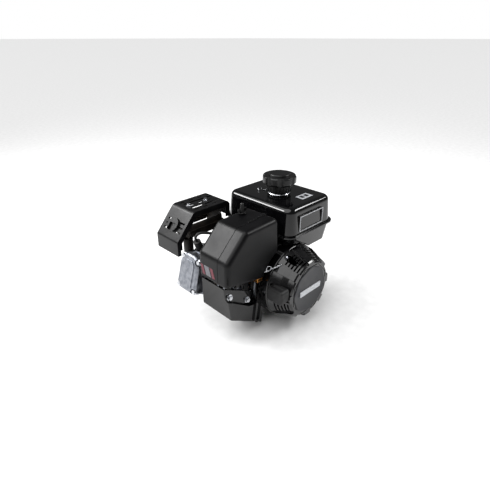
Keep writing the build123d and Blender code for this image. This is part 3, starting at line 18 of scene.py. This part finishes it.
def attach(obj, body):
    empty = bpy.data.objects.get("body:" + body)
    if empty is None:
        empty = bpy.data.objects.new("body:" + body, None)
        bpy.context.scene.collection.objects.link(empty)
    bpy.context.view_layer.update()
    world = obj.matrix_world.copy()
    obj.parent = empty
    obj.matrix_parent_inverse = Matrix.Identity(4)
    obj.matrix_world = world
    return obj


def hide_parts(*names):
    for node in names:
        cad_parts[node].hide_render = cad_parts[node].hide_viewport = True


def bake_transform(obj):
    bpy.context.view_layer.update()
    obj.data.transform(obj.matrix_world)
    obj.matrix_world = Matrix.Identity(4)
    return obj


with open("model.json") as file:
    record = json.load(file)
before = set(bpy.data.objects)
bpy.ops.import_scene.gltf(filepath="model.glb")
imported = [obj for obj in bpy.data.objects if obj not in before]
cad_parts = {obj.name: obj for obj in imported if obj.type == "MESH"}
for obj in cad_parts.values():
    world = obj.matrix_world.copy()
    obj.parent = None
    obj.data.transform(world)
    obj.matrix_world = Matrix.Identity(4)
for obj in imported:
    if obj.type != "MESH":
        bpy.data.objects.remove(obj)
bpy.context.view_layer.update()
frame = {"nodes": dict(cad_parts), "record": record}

MM = 0.001
bpy.ops.object.select_all(action="DESELECT")

# %% [markdown]
# ## Camera
# The camera looks down on the corner between the starter and the cylinder, fairly close, so the starter
# looks large. Its place and turn are written as plain numbers, so it does not follow the engine when a
# joint moves. Floor and lamps come last, when everything they light is there.

# %% Camera
CAMERA_PLACE = Vector((-0.6350, -0.6168, 0.6088))
CAMERA_TURN = Matrix(((0.7071, 0.3265, -0.6272), (-0.7071, 0.3265, -0.6272), (0.0, 0.8870, 0.4617)))
LENS_MM = 29.39
SENSOR_MM = 36.0
camera_data = bpy.data.cameras.new("camera")
camera_data.lens = LENS_MM
camera_data.sensor_width = SENSOR_MM
camera = bpy.data.objects.new("camera", camera_data)
bpy.context.collection.objects.link(camera)
camera.matrix_world = Matrix.Translation(CAMERA_PLACE) @ CAMERA_TURN.to_4x4()
bpy.context.scene.camera = camera
print("camera at", [round(value, 3) for value in CAMERA_PLACE])

# %% [markdown]
# ## Helpers for materials
# Paint charts give colours as sRGB hex codes, and shaders want linear light, so one function converts
# them all. Another adds every node, which keeps each finish down to a few readable lines.

# %% Colour and node helpers
def linear(hex_colour):
    """Turns an sRGB hex colour such as 1a1a1c into the linear colour that shaders use."""
    values = []
    for start in (0, 2, 4):
        part = int(hex_colour[start:start + 2], 16) / 255
        values.append(part / 12.92 if part <= 0.04045 else ((part + 0.055) / 1.055) ** 2.4)
    return (*values, 1.0)


def add(tree, kind, settings=None, **links):
    """Adds one node. Settings name its properties or inputs, and links name the sockets that feed it."""
    node = tree.nodes.new(kind)
    for key, value in (settings or {}).items():
        if key in node.inputs:
            node.inputs[key].default_value = value
        else:
            setattr(node, key, value)
    for key, socket in links.items():
        tree.links.new(socket, node.inputs[key.replace("_", " ")])
    return node


def start_material(name, colour, roughness, metallic=0.0, **extra):
    """A Principled shader with its constant values set, and Object coordinates ready for patterns."""
    material = bpy.data.materials.new(name)
    material.use_nodes = True
    tree = material.node_tree
    shader = tree.nodes["Principled BSDF"]
    shader.inputs["Base Color"].default_value = linear(colour)
    shader.inputs["Roughness"].default_value = roughness
    shader.inputs["Metallic"].default_value = metallic
    for key, value in extra.items():
        shader.inputs[key.replace("_", " ")].default_value = value
    place = add(tree, "ShaderNodeTexCoord").outputs["Object"]
    return material, tree, shader, place


# %% [markdown]
# ## Finishes
# Almost everything here is black, so the finishes differ by gloss and grain and not by colour. Each
# material reads Object coordinates, in metres, so a grain size in millimetres turns into a noise scale
# of one thousand divided by that size.

# %% Grain and wear, shared by the finishes
def grain_scale(size_mm):
    """Noise scale that gives features of about this size."""
    return 1.0 / (size_mm * MM)


EDGE_RADIUS = 0.5 * MM


def surface(tree, shader, place, grain_mm, depth_mm, rough_low, rough_high, patch_mm=18.0):
    """Rounded edges, a fine grain in the normal, and slow patches of changing gloss."""
    edges = add(tree, "ShaderNodeBevel", {"samples": 4, "Radius": EDGE_RADIUS})
    fine = add(tree, "ShaderNodeTexNoise", {"Scale": grain_scale(grain_mm), "Detail": 3.0}, Vector=place)
    bump = add(tree, "ShaderNodeBump", {"Strength": 0.6, "Distance": depth_mm * MM},
               Height=fine.outputs["Fac"], Normal=edges.outputs["Normal"])
    tree.links.new(bump.outputs["Normal"], shader.inputs["Normal"])
    patches = add(tree, "ShaderNodeTexNoise", {"Scale": grain_scale(patch_mm), "Detail": 4.0}, Vector=place)
    gloss = add(tree, "ShaderNodeMapRange", {"From Min": 0.3, "From Max": 0.7, "To Min": rough_low,
                                             "To Max": rough_high}, Value=patches.outputs["Fac"])
    tree.links.new(gloss.outputs["Result"], shader.inputs["Roughness"])
    return fine, patches


def tint(tree, shader, factor, dark, light, low=0.35, high=0.65):
    """Colour that drifts between two shades of the same finish."""
    ramp = add(tree, "ShaderNodeValToRGB", {}, Fac=factor)
    ramp.color_ramp.elements[0].position = low
    ramp.color_ramp.elements[0].color = linear(dark)
    ramp.color_ramp.elements[1].position = high
    ramp.color_ramp.elements[1].color = linear(light)
    tree.links.new(ramp.outputs["Color"], shader.inputs["Base Color"])


# %% [markdown]
# ### Painted metal
# The tank is pressed steel under a baked gloss enamel, smooth as glass with a faint orange peel. The
# fan housing has the same paint. The crankcase is sand-cast aluminium sprayed black, so the casting's
# pebbled skin shows through. The guard wears a heat-proof satin black.

# %% Painted metal
def enamel_on_steel():
    """Baked gloss enamel: mirror-like, with slow orange peel about 2 mm across."""
    made, tree, shader, place = start_material("gloss_enamel_on_steel", "040405", 0.1,
                                               Specular_IOR_Level=0.4, Coat_Weight=0.1,
                                               Coat_Roughness=0.04)
    _, patches = surface(tree, shader, place, 2.2, 0.010, 0.07, 0.13)
    tint(tree, shader, patches.outputs["Fac"], "040405", "080809")
    return made


def paint_on_casting():
    """Satin black sprayed on sand-cast aluminium, pebbled at about 1.2 mm."""
    made, tree, shader, place = start_material("satin_paint_on_cast_aluminium", "060606", 0.42,
                                               Specular_IOR_Level=0.18)
    _, patches = surface(tree, shader, place, 1.2, 0.12, 0.34, 0.52)
    tint(tree, shader, patches.outputs["Fac"], "050505", "080809")
    return made


def heatproof_paint():
    """Heat-proof satin black on the pressed guard, slightly chalky with a 0.8 mm tooth."""
    made, tree, shader, place = start_material("heatproof_paint_on_pressed_steel", "060607", 0.34,
                                               Specular_IOR_Level=0.24)
    _, patches = surface(tree, shader, place, 0.8, 0.03, 0.30, 0.42, 30.0)
    tint(tree, shader, patches.outputs["Fac"], "0b0b0c", "121213")
    return made


def scorched_steel():
    """Muffler body: thin black paint dulled by heat, with brownish patches."""
    made, tree, shader, place = start_material("heat_dulled_steel", "1c1a18", 0.6, 0.3)
    _, patches = surface(tree, shader, place, 1.5, 0.08, 0.5, 0.7, 22.0)
    tint(tree, shader, patches.outputs["Fac"], "141210", "2a231d")
    return made


# %% [markdown]
# ### Plastics and rubber
# The air cleaner is moulded polypropylene with a fine leather-like grain that scatters light into a
# soft grey. The starter cover is harder and shinier. Rubber is rougher than either.

# %% Plastics and rubber
def grained_polypropylene():
    """Moulded air cleaner cover: 1 mm mould grain, drawn a little coarse so that it shows."""
    made, tree, shader, place = start_material("grained_polypropylene", "060607", 0.4,
                                               Specular_IOR_Level=0.2)
    cells = add(tree, "ShaderNodeTexVoronoi", {"Scale": grain_scale(1.3)}, Vector=place)
    _, patches = surface(tree, shader, place, 0.9, 0.05, 0.36, 0.44, 40.0)
    relief = add(tree, "ShaderNodeBump", {"Strength": 0.35, "Distance": 0.05 * MM},
                 Height=cells.outputs["Distance"],
                 Normal=shader.inputs["Normal"].links[0].from_socket)
    tree.links.new(relief.outputs["Normal"], shader.inputs["Normal"])
    tint(tree, shader, patches.outputs["Fac"], "050506", "08080a")
    return made


def polished_nylon():
    """Starter cover: glass-filled nylon moulded in a polished tool."""
    made, tree, shader, place = start_material("moulded_nylon", "060607", 0.2, Coat_Weight=0.2,
                                               Coat_Roughness=0.15)
    _, patches = surface(tree, shader, place, 1.6, 0.02, 0.16, 0.26)
    tint(tree, shader, patches.outputs["Fac"], "050506", "08080a")
    return made


def satin_nylon():
    """The starter's centre plate: same nylon with a spark-eroded satin face."""
    made, tree, shader, place = start_material("satin_nylon", "1a1b20", 0.4)
    _, patches = surface(tree, shader, place, 0.9, 0.04, 0.38, 0.48)
    tint(tree, shader, patches.outputs["Fac"], "17181c", "1e1f25")
    return made


def matt_abs():
    """Cap, knob and levers: moulded ABS with a light texture."""
    made, tree, shader, place = start_material("moulded_abs", "070708", 0.34, Specular_IOR_Level=0.4)
    _, patches = surface(tree, shader, place, 0.9, 0.04, 0.28, 0.40)
    tint(tree, shader, patches.outputs["Fac"], "060607", "09090a")
    return made


def fan_nylon():
    """Fan and pulley: plain dark nylon, slightly dusty."""
    made, tree, shader, place = start_material("dusty_nylon", "1c1c1e", 0.5)
    _, patches = surface(tree, shader, place, 1.0, 0.05, 0.45, 0.6)
    tint(tree, shader, patches.outputs["Fac"], "19191b", "232325")
    return made


def nitrile_rubber(name="nitrile_rubber", colour="0c0c0d"):
    """Hose, seals, boot and grip: soft, dull, finely pitted."""
    made, tree, shader, place = start_material(name, colour, 0.6)
    surface(tree, shader, place, 0.7, 0.06, 0.52, 0.7)
    return made


def phenolic_block():
    """Insulator: brown-black phenolic with fibre flecks."""
    made, tree, shader, place = start_material("phenolic_resin", "2a1a12", 0.5)
    fine, _ = surface(tree, shader, place, 1.0, 0.05, 0.42, 0.58, 6.0)
    tint(tree, shader, fine.outputs["Fac"], "21140e", "3a261a")
    return made


# %% [markdown]
# ### Bare metals
# The rocker cover, carburettor and flywheel are die-cast aluminium: pale, grainy and uneven. Bolts are
# zinc plated. Turned steel has lines round the axis it was cut on, drawn here with a stretched noise.

# %% Bare metals
def die_cast_aluminium():
    """Pale die casting, pebbled at 0.9 mm, darker and lighter in random patches about 9 mm across."""
    made, tree, shader, place = start_material("die_cast_aluminium", "92959b", 0.42, 1.0)
    _, patches = surface(tree, shader, place, 0.9, 0.10, 0.34, 0.5, 9.0)
    tint(tree, shader, patches.outputs["Fac"], "7d8087", "a2a5ac")
    return made


def zinc_plate():
    """Bright zinc on pressed or headed steel, a little cloudy."""
    made, tree, shader, place = start_material("bright_zinc_plate", "c9cbce", 0.25, 1.0)
    _, patches = surface(tree, shader, place, 0.8, 0.03, 0.18, 0.34, 5.0)
    tint(tree, shader, patches.outputs["Fac"], "b2b5ba", "dcdde0")
    return made


def turned_steel():
    """Ground shaft: fine rings round the Y axis."""
    made, tree, shader, place = start_material("ground_steel", "c2c4c6", 0.22, 1.0)
    stretch = add(tree, "ShaderNodeMapping", {"Scale": (0.15, 2.5, 0.15)}, Vector=place)
    _, patches = surface(tree, shader, stretch.outputs["Vector"], 1.0, 0.02, 0.16, 0.3, 6.0)
    tint(tree, shader, patches.outputs["Fac"], "b0b2b5", "cfd1d3")
    return made


def hardened_steel():
    """Dark oil-quenched steel for springs and pressed cups."""
    made, tree, shader, place = start_material("hardened_steel", "4a4b4e", 0.35, 1.0)
    _, patches = surface(tree, shader, place, 1.0, 0.03, 0.28, 0.45, 8.0)
    tint(tree, shader, patches.outputs["Fac"], "3e3f42", "5a5b5e")
    return made


def turned_brass():
    """Fuel valve: machined brass, slightly tarnished."""
    made, tree, shader, place = start_material("turned_brass", "b5773a", 0.28, 1.0)
    _, patches = surface(tree, shader, place, 1.0, 0.03, 0.2, 0.4, 5.0)
    tint(tree, shader, patches.outputs["Fac"], "9a6330", "c98d4c")
    return made


# %% [markdown]
# ### Paper, mesh and rope
# The filter is folded paper stiffened with resin, and the rope is braided polyester. Loose fibres scatter
# light, so these two are the roughest finishes. The strainer is a pale moulded cup with a slight sheen.

# %% Paper, mesh and rope
def pleated_paper():
    """Resin-treated filter paper with fibres."""
    made, tree, shader, place = start_material("resin_treated_paper", "c9a968", 0.85)
    fine, _ = surface(tree, shader, place, 0.8, 0.08, 0.8, 0.95)
    tint(tree, shader, fine.outputs["Fac"], "b8975a", "d8bb80")
    return made


def strainer_acetal():
    """White acetal cup with a woven look at 1 mm."""
    made, tree, shader, place = start_material("moulded_acetal", "c8cac4", 0.5)
    surface(tree, shader, place, 1.0, 0.05, 0.42, 0.55)
    return made


WAVE_PERIOD = 2 * math.pi / 20      # length of one wave of the wave node at scale 1
STRAND_PITCH_MM = 2.8
STRAND_ANGLE = 0.9


def braided_rope():
    """Braided polyester rope: diagonal strands across the cord, which runs along X."""
    made, tree, shader, place = start_material("braided_polyester", "d9d4c6", 0.8, Sheen_Weight=0.3)
    turn = add(tree, "ShaderNodeMapping", {"Rotation": (0.0, 0.0, STRAND_ANGLE)}, Vector=place)
    strands = add(tree, "ShaderNodeTexWave",
                  {"Scale": WAVE_PERIOD / (STRAND_PITCH_MM * MM), "Distortion": 0.5},
                  Vector=turn.outputs["Vector"])
    bump = add(tree, "ShaderNodeBump", {"Strength": 0.8, "Distance": 0.3 * MM},
               Height=strands.outputs["Fac"])
    tree.links.new(bump.outputs["Normal"], shader.inputs["Normal"])
    tint(tree, shader, strands.outputs["Fac"], "8f8b80", "e4e0d4", 0.2, 0.8)
    return made


# %% [markdown]
# ### Printed films and a painted highlight line
# Labels are printed polyester film: flat colour under a clear satin layer, with a faint print mottle. The
# silver film also draws the painted highlight line round the tank's panel.

# %% Films
def film(name, dark, light, roughness):
    """Printed polyester film with a faint mottle about 3 mm across."""
    made, tree, shader, place = start_material(name, light, roughness)
    fine, _ = surface(tree, shader, place, 3.0, 0.004, roughness - 0.05, roughness + 0.05)
    tint(tree, shader, fine.outputs["Fac"], dark, light)
    return made


def red_film():
    """Dark red ink, slightly faded."""
    return film("red_printed_film", "541423", "6b1b2c", 0.4)


def grey_film():
    """Mid grey ink."""
    return film("grey_printed_film", "56565a", "6a6a70", 0.4)


def silver_film():
    """Satin silver film or foil."""
    return film("silver_printed_film", "b9bbc0", "d2d4d8", 0.35)


# %% [markdown]
# ### Handing out the finishes
# The record says which material slot every solid has. Each finish is made once and shared by all the
# solids of its slot. The last four serve only pieces that are added below.

# %% Finish for each slot
FINISHES = {
    "cast_black": paint_on_casting(),
    "cast_alloy": die_cast_aluminium(),
    "steel_bright": turned_steel(),
    "zinc_steel": zinc_plate(),
    "dark_steel": hardened_steel(),
    "black_sheet": enamel_on_steel(),
    "recoil_black": polished_nylon(),
    "cover_black": grained_polypropylene(),
    "cap_black": matt_abs(),
    "handle_black": nitrile_rubber("moulded_grip_rubber", "0d0d0e"),
    "fan_plastic": fan_nylon(),
    "seal_rubber": nitrile_rubber("seal_rubber", "151312"),
    "hose_rubber": nitrile_rubber(),
    "rope_fibre": braided_rope(),
    "filter_paper": pleated_paper(),
    "brass": turned_brass(),
    "phenolic": phenolic_block(),
    "muffler_steel": scorched_steel(),
    "guard_black": heatproof_paint(),
    "strainer": strainer_acetal(),
    "satin_plate": satin_nylon(),
    "red_film": red_film(),
    "grey_film": grey_film(),
    "silver_film": silver_film(),
}
SLOT_OF = {row["node"]: row["material_slot"] for row in frame["record"]["subparts"]}
for node, piece in frame["nodes"].items():
    for slot in piece.material_slots:
        slot.material = FINISHES[SLOT_OF[node]]
print("finished", len(frame["nodes"]), "solids with", len(FINISHES), "materials")


# %% [markdown]
# ## Tools for shaping new pieces
# Each new piece starts as a primitive at its place and is shaped in edit mode. Faces are picked by
# their normal or their place, because nobody is there to click on them.

# %% Shaping helpers
MERGE_DISTANCE = 0.01 * MM
SMOOTH_ANGLE = math.radians(35)


def only(piece):
    """Makes this piece the one selected, active object."""
    if bpy.context.object and bpy.context.object.mode == "EDIT":
        bpy.ops.object.mode_set(mode="OBJECT")
    bpy.ops.object.select_all(action="DESELECT")
    piece.select_set(True)
    bpy.context.view_layer.objects.active = piece


def pick(piece, test, kind="faces"):
    """Leaves the piece in edit mode with just the matching faces, edges or vertices selected."""
    only(piece)
    bpy.ops.object.mode_set(mode="EDIT")
    mode = {"faces": "FACE", "edges": "EDGE", "verts": "VERT"}[kind]
    bpy.ops.mesh.select_mode(type=mode)
    bpy.ops.mesh.select_all(action="DESELECT")
    mesh = bmesh.from_edit_mesh(piece.data)
    for part in getattr(mesh, kind):
        if test(part):
            part.select_set(True)
    mesh.select_flush_mode()
    bmesh.update_edit_mesh(piece.data)


def done():
    """Leaves edit mode."""
    bpy.ops.object.mode_set(mode="OBJECT")


def modify(piece, kind, **settings):
    """Adds a modifier, sets it and applies it."""
    only(piece)
    added = piece.modifiers.new(kind.lower(), kind)
    for key, value in settings.items():
        setattr(added, key, value)
    bpy.ops.object.modifier_apply(modifier=added.name)


def hand_over(piece, name, material, slot, body, *stands_for):
    """Bakes the place into the mesh, names the piece and ties it to its body. The slot argument is not
    used.
    """
    only(piece)
    bpy.ops.object.transform_apply(location=True, rotation=True, scale=True)
    bpy.ops.object.mode_set(mode="EDIT")
    bpy.ops.mesh.select_all(action="SELECT")
    bpy.ops.mesh.remove_doubles(threshold=MERGE_DISTANCE)
    bpy.ops.mesh.normals_make_consistent(inside=False)
    bpy.ops.object.mode_set(mode="OBJECT")
    bpy.ops.object.shade_smooth_by_angle(angle=SMOOTH_ANGLE)
    piece.name = name
    piece.data.materials.clear()
    piece.data.materials.append(FINISHES[material])
    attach(piece, body)
    if stands_for:
        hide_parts(*stands_for)
    print(name, len(piece.data.polygons), "faces")


def slab(low, high):
    """A block between two corners given in millimetres, ready to be shaped."""
    size = [(b - a) * MM for a, b in zip(low, high)]
    middle = [(a + b) / 2 * MM for a, b in zip(low, high)]
    bpy.ops.object.select_all(action="DESELECT")
    bpy.ops.mesh.primitive_cube_add(size=1.0, location=middle)
    piece = bpy.context.object
    piece.scale = size
    bpy.ops.object.transform_apply(location=True, rotation=True, scale=True)
    return piece


def wire(points, radius):
    """A round wire or cord along smooth points given in millimetres, as a closed mesh."""
    bpy.ops.object.select_all(action="DESELECT")
    bpy.ops.curve.primitive_nurbs_path_add(location=(0, 0, 0))
    piece = bpy.context.object
    piece.data.splines.clear()
    spline = piece.data.splines.new("NURBS")
    spline.points.add(len(points) - 1)
    for point, place in zip(spline.points, points):
        point.co = (*(value * MM for value in place), 1.0)
    spline.order_u = 3
    spline.use_endpoint_u = True
    piece.data.resolution_u = 8
    piece.data.bevel_depth = radius * MM
    piece.data.bevel_resolution = 3
    piece.data.use_fill_caps = True
    bpy.ops.object.convert(target="MESH")
    return bpy.context.object


# %% [markdown]
# ## The starter's centre plate
# The real cover carries a satin plate let into its glossy face, and a pale raised bar where a maker would
# put a name. The plate is an eight-sided disc, inset once so that its rim catches the light.

# %% Starter plate and bar
SHAFT_Z = 106.0
FACE_Y = -187.0
PLATE_R = 58.0
bpy.ops.object.select_all(action="DESELECT")
bpy.ops.mesh.primitive_cylinder_add(vertices=8, radius=PLATE_R * MM, depth=1.4 * MM,
                                    location=(0, (FACE_Y - 0.5) * MM, SHAFT_Z * MM),
                                    rotation=(math.radians(90), 0, 0))
plate = bpy.context.object
only(plate)
bpy.ops.object.transform_apply(location=False, rotation=True, scale=False)
pick(plate, lambda edge: abs(edge.verts[0].co.y - edge.verts[1].co.y) > 0.5 * MM, "edges")
bpy.ops.mesh.bevel(offset=9 * MM, segments=4, affect="EDGES")
pick(plate, lambda face: face.normal.y < -0.9)
bpy.ops.mesh.inset(thickness=2.0 * MM, depth=0.5 * MM)
bpy.ops.mesh.inset(thickness=1.2 * MM, depth=-0.5 * MM)
done()
hand_over(plate, "starter_centre_plate", "satin_plate", "recoil_black", "engine")

bar = slab((-36, -190.6, 99.5), (36, -187.6, 112.5))
pick(bar, lambda face: face.normal.y < -0.9)
bpy.ops.mesh.inset(thickness=2.6 * MM)
done()
modify(bar, "BEVEL", width=0.8 * MM, segments=3)
hand_over(bar, "starter_plain_bar", "silver_film", "recoil_black", "engine")

# %% [markdown]
# ## Stripes and labels
# The air cleaner's outer side carries a printed film. A plain set of slanted stripes stands for it.
# Each is a thin slab whose upper corners are moved along the side.

# %% Stripes
STRIPE_FACE_X = -192.25
STRIPES = ((-88.0, 9.0, "red_film"), (-76.0, 15.0, "grey_film"), (-58.0, 8.0, "red_film"))
for index, (start, width, finish) in enumerate(STRIPES):
    stripe = slab((STRIPE_FACE_X, start, 171.0), (STRIPE_FACE_X + 0.35, start + width, 193.0))
    pick(stripe, lambda vertex: vertex.co.z > 0.180, "verts")
    bpy.ops.transform.translate(value=(0, 7.0 * MM, 0))
    pick(stripe, lambda face: face.normal.x < -0.9)
    bpy.ops.mesh.inset(thickness=0.8 * MM)
    done()
    hand_over(stripe, f"side_stripe_{index + 1}", finish, "cover_black", "cleaner_lid")

# %% [markdown]
# A pale patch sits behind the filler on the right of the tank's top. It holds two plain dark squares and
# no words.

# %% Tank patch
patch = slab((62, -106, 280.9), (100, -84, 281.25))
pick(patch, lambda face: face.normal.z > 0.9)
bpy.ops.mesh.inset(thickness=0.7 * MM)
done()
hand_over(patch, "tank_patch", "silver_film", "black_sheet", "engine")
for index, x in enumerate((68.0, 83.0)):
    square = slab((x, -101, 281.1), (x + 10, -89, 281.5))
    pick(square, lambda face: face.normal.z > 0.9)
    bpy.ops.mesh.inset(thickness=1.0 * MM)
    done()
    hand_over(square, f"tank_patch_square_{index + 1}", "cap_black", "black_sheet", "engine")

# %% [markdown]
# The light that catches the edge of the panel on the tank's front is painted as a thin pale line of silver
# film. A flat rectangle is inset and its middle deleted, and the ring that is left is thickened.

# %% Painted highlight round the tank's panel
bpy.ops.object.select_all(action="DESELECT")
PANEL_HIGHLIGHT_MIDDLE = Vector((57, -137.9, 243)) * MM
PANEL_HIGHLIGHT_WIDTH, PANEL_HIGHLIGHT_HEIGHT = 84 * MM, 36 * MM
bpy.ops.mesh.primitive_plane_add(size=1.0, location=PANEL_HIGHLIGHT_MIDDLE, rotation=(math.radians(90), 0, 0))
panel_highlight_line = bpy.context.object
panel_highlight_line.scale = (PANEL_HIGHLIGHT_WIDTH, PANEL_HIGHLIGHT_HEIGHT, 1.0)
bpy.ops.object.transform_apply(location=True, rotation=True, scale=True)
pick(panel_highlight_line, lambda face: True)
bpy.ops.mesh.inset(thickness=1.3 * MM)
done()
pick(panel_highlight_line, lambda face: face.calc_area() > 0.6 * PANEL_HIGHLIGHT_WIDTH * PANEL_HIGHLIGHT_HEIGHT)
bpy.ops.mesh.delete(type="FACE")
done()
modify(panel_highlight_line, "SOLIDIFY", thickness=0.5 * MM)
hand_over(panel_highlight_line, "tank_panel_painted_highlight", "silver_film", "black_sheet", "engine")

# %% [markdown]
# ## Knob on the air cleaner
# A slim moulded spindle with two finger wings screws onto the stud. It grows from a disc by repeated
# extruding and scaling, the way a turned shape is drawn by hand.

# %% Knob
KNOB_X, KNOB_Y = -80.0, -53.0
bpy.ops.object.select_all(action="DESELECT")
bpy.ops.mesh.primitive_cylinder_add(vertices=16, radius=9.0 * MM, depth=2.0 * MM,
                                    location=(KNOB_X * MM, KNOB_Y * MM, 275.5 * MM))
knob = bpy.context.object
bpy.ops.object.transform_apply(location=True, rotation=True, scale=True)
pick(knob, lambda face: face.normal.z > 0.9)
for shrink, rise in ((0.62, 0.8), (0.9, 7.0), (0.86, 6.0), (0.8, 5.0), (0.5, 2.0)):
    bpy.ops.mesh.extrude_region_move(TRANSFORM_OT_translate={"value": (0, 0, rise * MM)})
    bpy.ops.transform.resize(value=(shrink, shrink, 1.0))
done()
for side in (-1, 1):
    pick(knob, lambda face: abs(face.normal.z) < 0.4 and face.normal.x * side > 0.8
         and 0.278 < face.calc_center_median().z < 0.284)
    bpy.ops.mesh.extrude_region_move(TRANSFORM_OT_translate={"value": (side * 7 * MM, 0, 1.5 * MM)})
    bpy.ops.transform.resize(value=(1.0, 0.8, 0.8))
    done()
modify(knob, "BEVEL", width=0.5 * MM, segments=2, limit_method="ANGLE")
hand_over(knob, "winged_knob", "cap_black", "cap_black", "lid_knob", "cover_knob")

# %% [markdown]
# ## Ribs on the air cleaner's top
# The real moulding has a raised mark near its front edge. A row of short plain ribs stands for it.
# One rib is shaped and the rest are copies with their own mesh.

# %% Top ribs
RIB_COUNT = 7
RIB_STEP = Vector((8.4, 0.6, 0.27)) * MM
rib = slab((-104, -97.6, 271.6), (-99, -91.6, 273.5))
pick(rib, lambda face: face.normal.z > 0.9)
bpy.ops.mesh.inset(thickness=0.9 * MM)
bpy.ops.transform.translate(value=(0, 0, 0.6 * MM))
done()
hand_over(rib, "top_rib_1", "cover_black", "cover_black", "cleaner_lid")
for index in range(1, RIB_COUNT):
    copy = rib.copy()
    copy.data = rib.data.copy()
    bpy.context.collection.objects.link(copy)
    copy.data.transform(Matrix.Translation(RIB_STEP * index))
    copy.name = f"top_rib_{index + 1}"
    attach(copy, "cleaner_lid")

# %% [markdown]
# ## Throttle rod, tether and rope
# A bright bent rod with a small loop runs from under the air cleaner over the starter's shoulder. The
# cap's tether shows as a little silver loop on the tank. The rope stretches between the engine and
# the grip.

# %% Rod, tether and rope
rod = wire([(-97, -102, 147), (-90, -116, 155), (-80, -130, 162), (-68, -139, 169), (-57, -147, 175),
            (-51, -147, 172), (-48, -143, 164)], 1.5)
hand_over(rod, "throttle_rod", "zinc_steel", "zinc_steel", "engine")
loop = wire([(-84, -132, 163), (-86, -131, 171), (-81, -133, 176), (-75, -136, 173), (-75, -135.5, 167),
             (-80, -131.5, 162)], 0.9)
hand_over(loop, "throttle_spring_loop", "zinc_steel", "zinc_steel", "engine")
clamp = slab((-104, -124, 139), (-88, -112, 149))
pick(clamp, lambda face: face.normal.z > 0.9)
bpy.ops.mesh.inset(thickness=2.0 * MM)
bpy.ops.mesh.extrude_region_move(TRANSFORM_OT_translate={"value": (0, 0, 4 * MM)})
done()
modify(clamp, "BEVEL", width=1.0 * MM, segments=2)
hand_over(clamp, "throttle_clamp", "brass", "brass", "engine")
tether = wire([(47, 8, 281), (45, 10, 285), (40, 12, 286.5), (34, 9, 285), (33, 4, 283), (38, 2, 281.5),
               (46, -3, 282), (52, -8, 284)], 0.8)
hand_over(tether, "cap_tether", "zinc_steel", "zinc_steel", "engine")
ROPE_Y, ROPE_Z = -162, 118
rope = wire([*((x, ROPE_Y, ROPE_Z) for x in (-74, -71, -69.2, -68, -66.5)),
             (-64, -162, 119), (-60, -162.5, 122), (-52, -163.5, 127), (-40, -164, 134)], 2.0)
only(rope)
rope.name = "starter_rope_line"
rope.data.materials.clear()
rope.data.materials.append(FINISHES["rope_fibre"])
bpy.ops.object.shade_smooth()
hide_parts("starter_rope")
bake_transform(rope)
print("starter_rope_line", len(rope.data.polygons), "faces")

# %% [markdown]
# ## Ring under the cap
# A pressed zinc ring is crimped round the filler neck, and its top shows between cap and tank.

# %% Neck ring
bpy.ops.object.select_all(action="DESELECT")
NECK_MIDDLE = Vector((55, -40, 283.1)) * MM
RING_R = 22.3 * MM
bpy.ops.mesh.primitive_circle_add(vertices=48, radius=RING_R, location=NECK_MIDDLE)
ring = bpy.context.object
bpy.ops.object.transform_apply(location=True, rotation=True, scale=True)
pick(ring, lambda edge: True, "edges")
for grow, rise in ((1.0, 4.2), (1.06, 0.4), (1.08, -1.8), (1.04, -1.6)):
    bpy.ops.mesh.extrude_region_move(TRANSFORM_OT_translate={"value": (0, 0, rise * MM)})
    bpy.ops.transform.resize(value=(grow, grow, 1.0))
done()
modify(ring, "SOLIDIFY", thickness=0.5 * MM, offset=1.0)
hand_over(ring, "neck_ring", "zinc_steel", "zinc_steel", "engine")

# %% [markdown]
# ## Floor, world and lamps
# Gloss black paint shows little but the lamps around it. A very broad sun gives soft light and a soft
# shadow, and two long strips draw the bright lines along the tank's shoulders. The world is white to the
# camera and dim to everything else, so the black stays black.

# %% Floor, world and lamps
FLOOR_SIZE, FLOOR_Z = 300.0, -0.0005
WORLD_LIGHT = 0.12
SUN_ENERGY, SUN_ANGLE = 3.0, math.radians(75)
SUN_DIRECTION = Vector((0.55, -0.15, -1.0))
LAMP_TARGET = Vector((0, 0, 0.2))


def lamp(name, place, size, size_y, power):
    """Rectangular soft lamp aimed at the engine."""
    data = bpy.data.lights.new(name, "AREA")
    data.energy = power
    data.size = size
    data.shape = "RECTANGLE"
    data.size_y = size_y
    holder = bpy.data.objects.new(name, data)
    bpy.context.collection.objects.link(holder)
    aim = LAMP_TARGET - Vector(place)
    holder.rotation_euler = aim.to_track_quat("-Z", "Y").to_euler()
    holder.location = place


bpy.ops.object.select_all(action="DESELECT")
bpy.ops.mesh.primitive_plane_add(size=FLOOR_SIZE, location=(0, 0, FLOOR_Z))
floor = bpy.context.object
floor.name = "floor"
paper, paper_tree, paper_shader, paper_place = start_material("studio_paper", "f2f2f2", 0.95)
paper_grain = add(paper_tree, "ShaderNodeTexNoise", {"Scale": 40.0}, Vector=paper_place)
tint(paper_tree, paper_shader, paper_grain.outputs["Fac"], "efefef", "f5f5f5")
floor.data.materials.append(paper)

world = bpy.data.worlds.new("studio")
world.use_nodes = True
sky = world.node_tree
background = sky.nodes["Background"]
ray = add(sky, "ShaderNodeLightPath")
strength = add(sky, "ShaderNodeMapRange", {"To Min": WORLD_LIGHT, "To Max": 1.0},
               Value=ray.outputs["Is Camera Ray"])
sky.links.new(strength.outputs["Result"], background.inputs["Strength"])
background.inputs["Color"].default_value = (1.0, 1.0, 1.0, 1.0)
bpy.context.scene.world = world
bpy.context.scene.view_settings.view_transform = "Standard"
sun_data = bpy.data.lights.new("soft_key", "SUN")
sun_data.energy = SUN_ENERGY
sun_data.angle = SUN_ANGLE
sun = bpy.data.objects.new("soft_key", sun_data)
sun.rotation_euler = SUN_DIRECTION.to_track_quat("-Z", "Y").to_euler()
bpy.context.collection.objects.link(sun)
lamp("left_strip", (-0.80, 1.05, 1.15), 0.9, 0.35, 22.0)
lamp("right_strip", (1.05, -0.85, 1.15), 0.7, 0.3, 12.0)
print("studio ready")
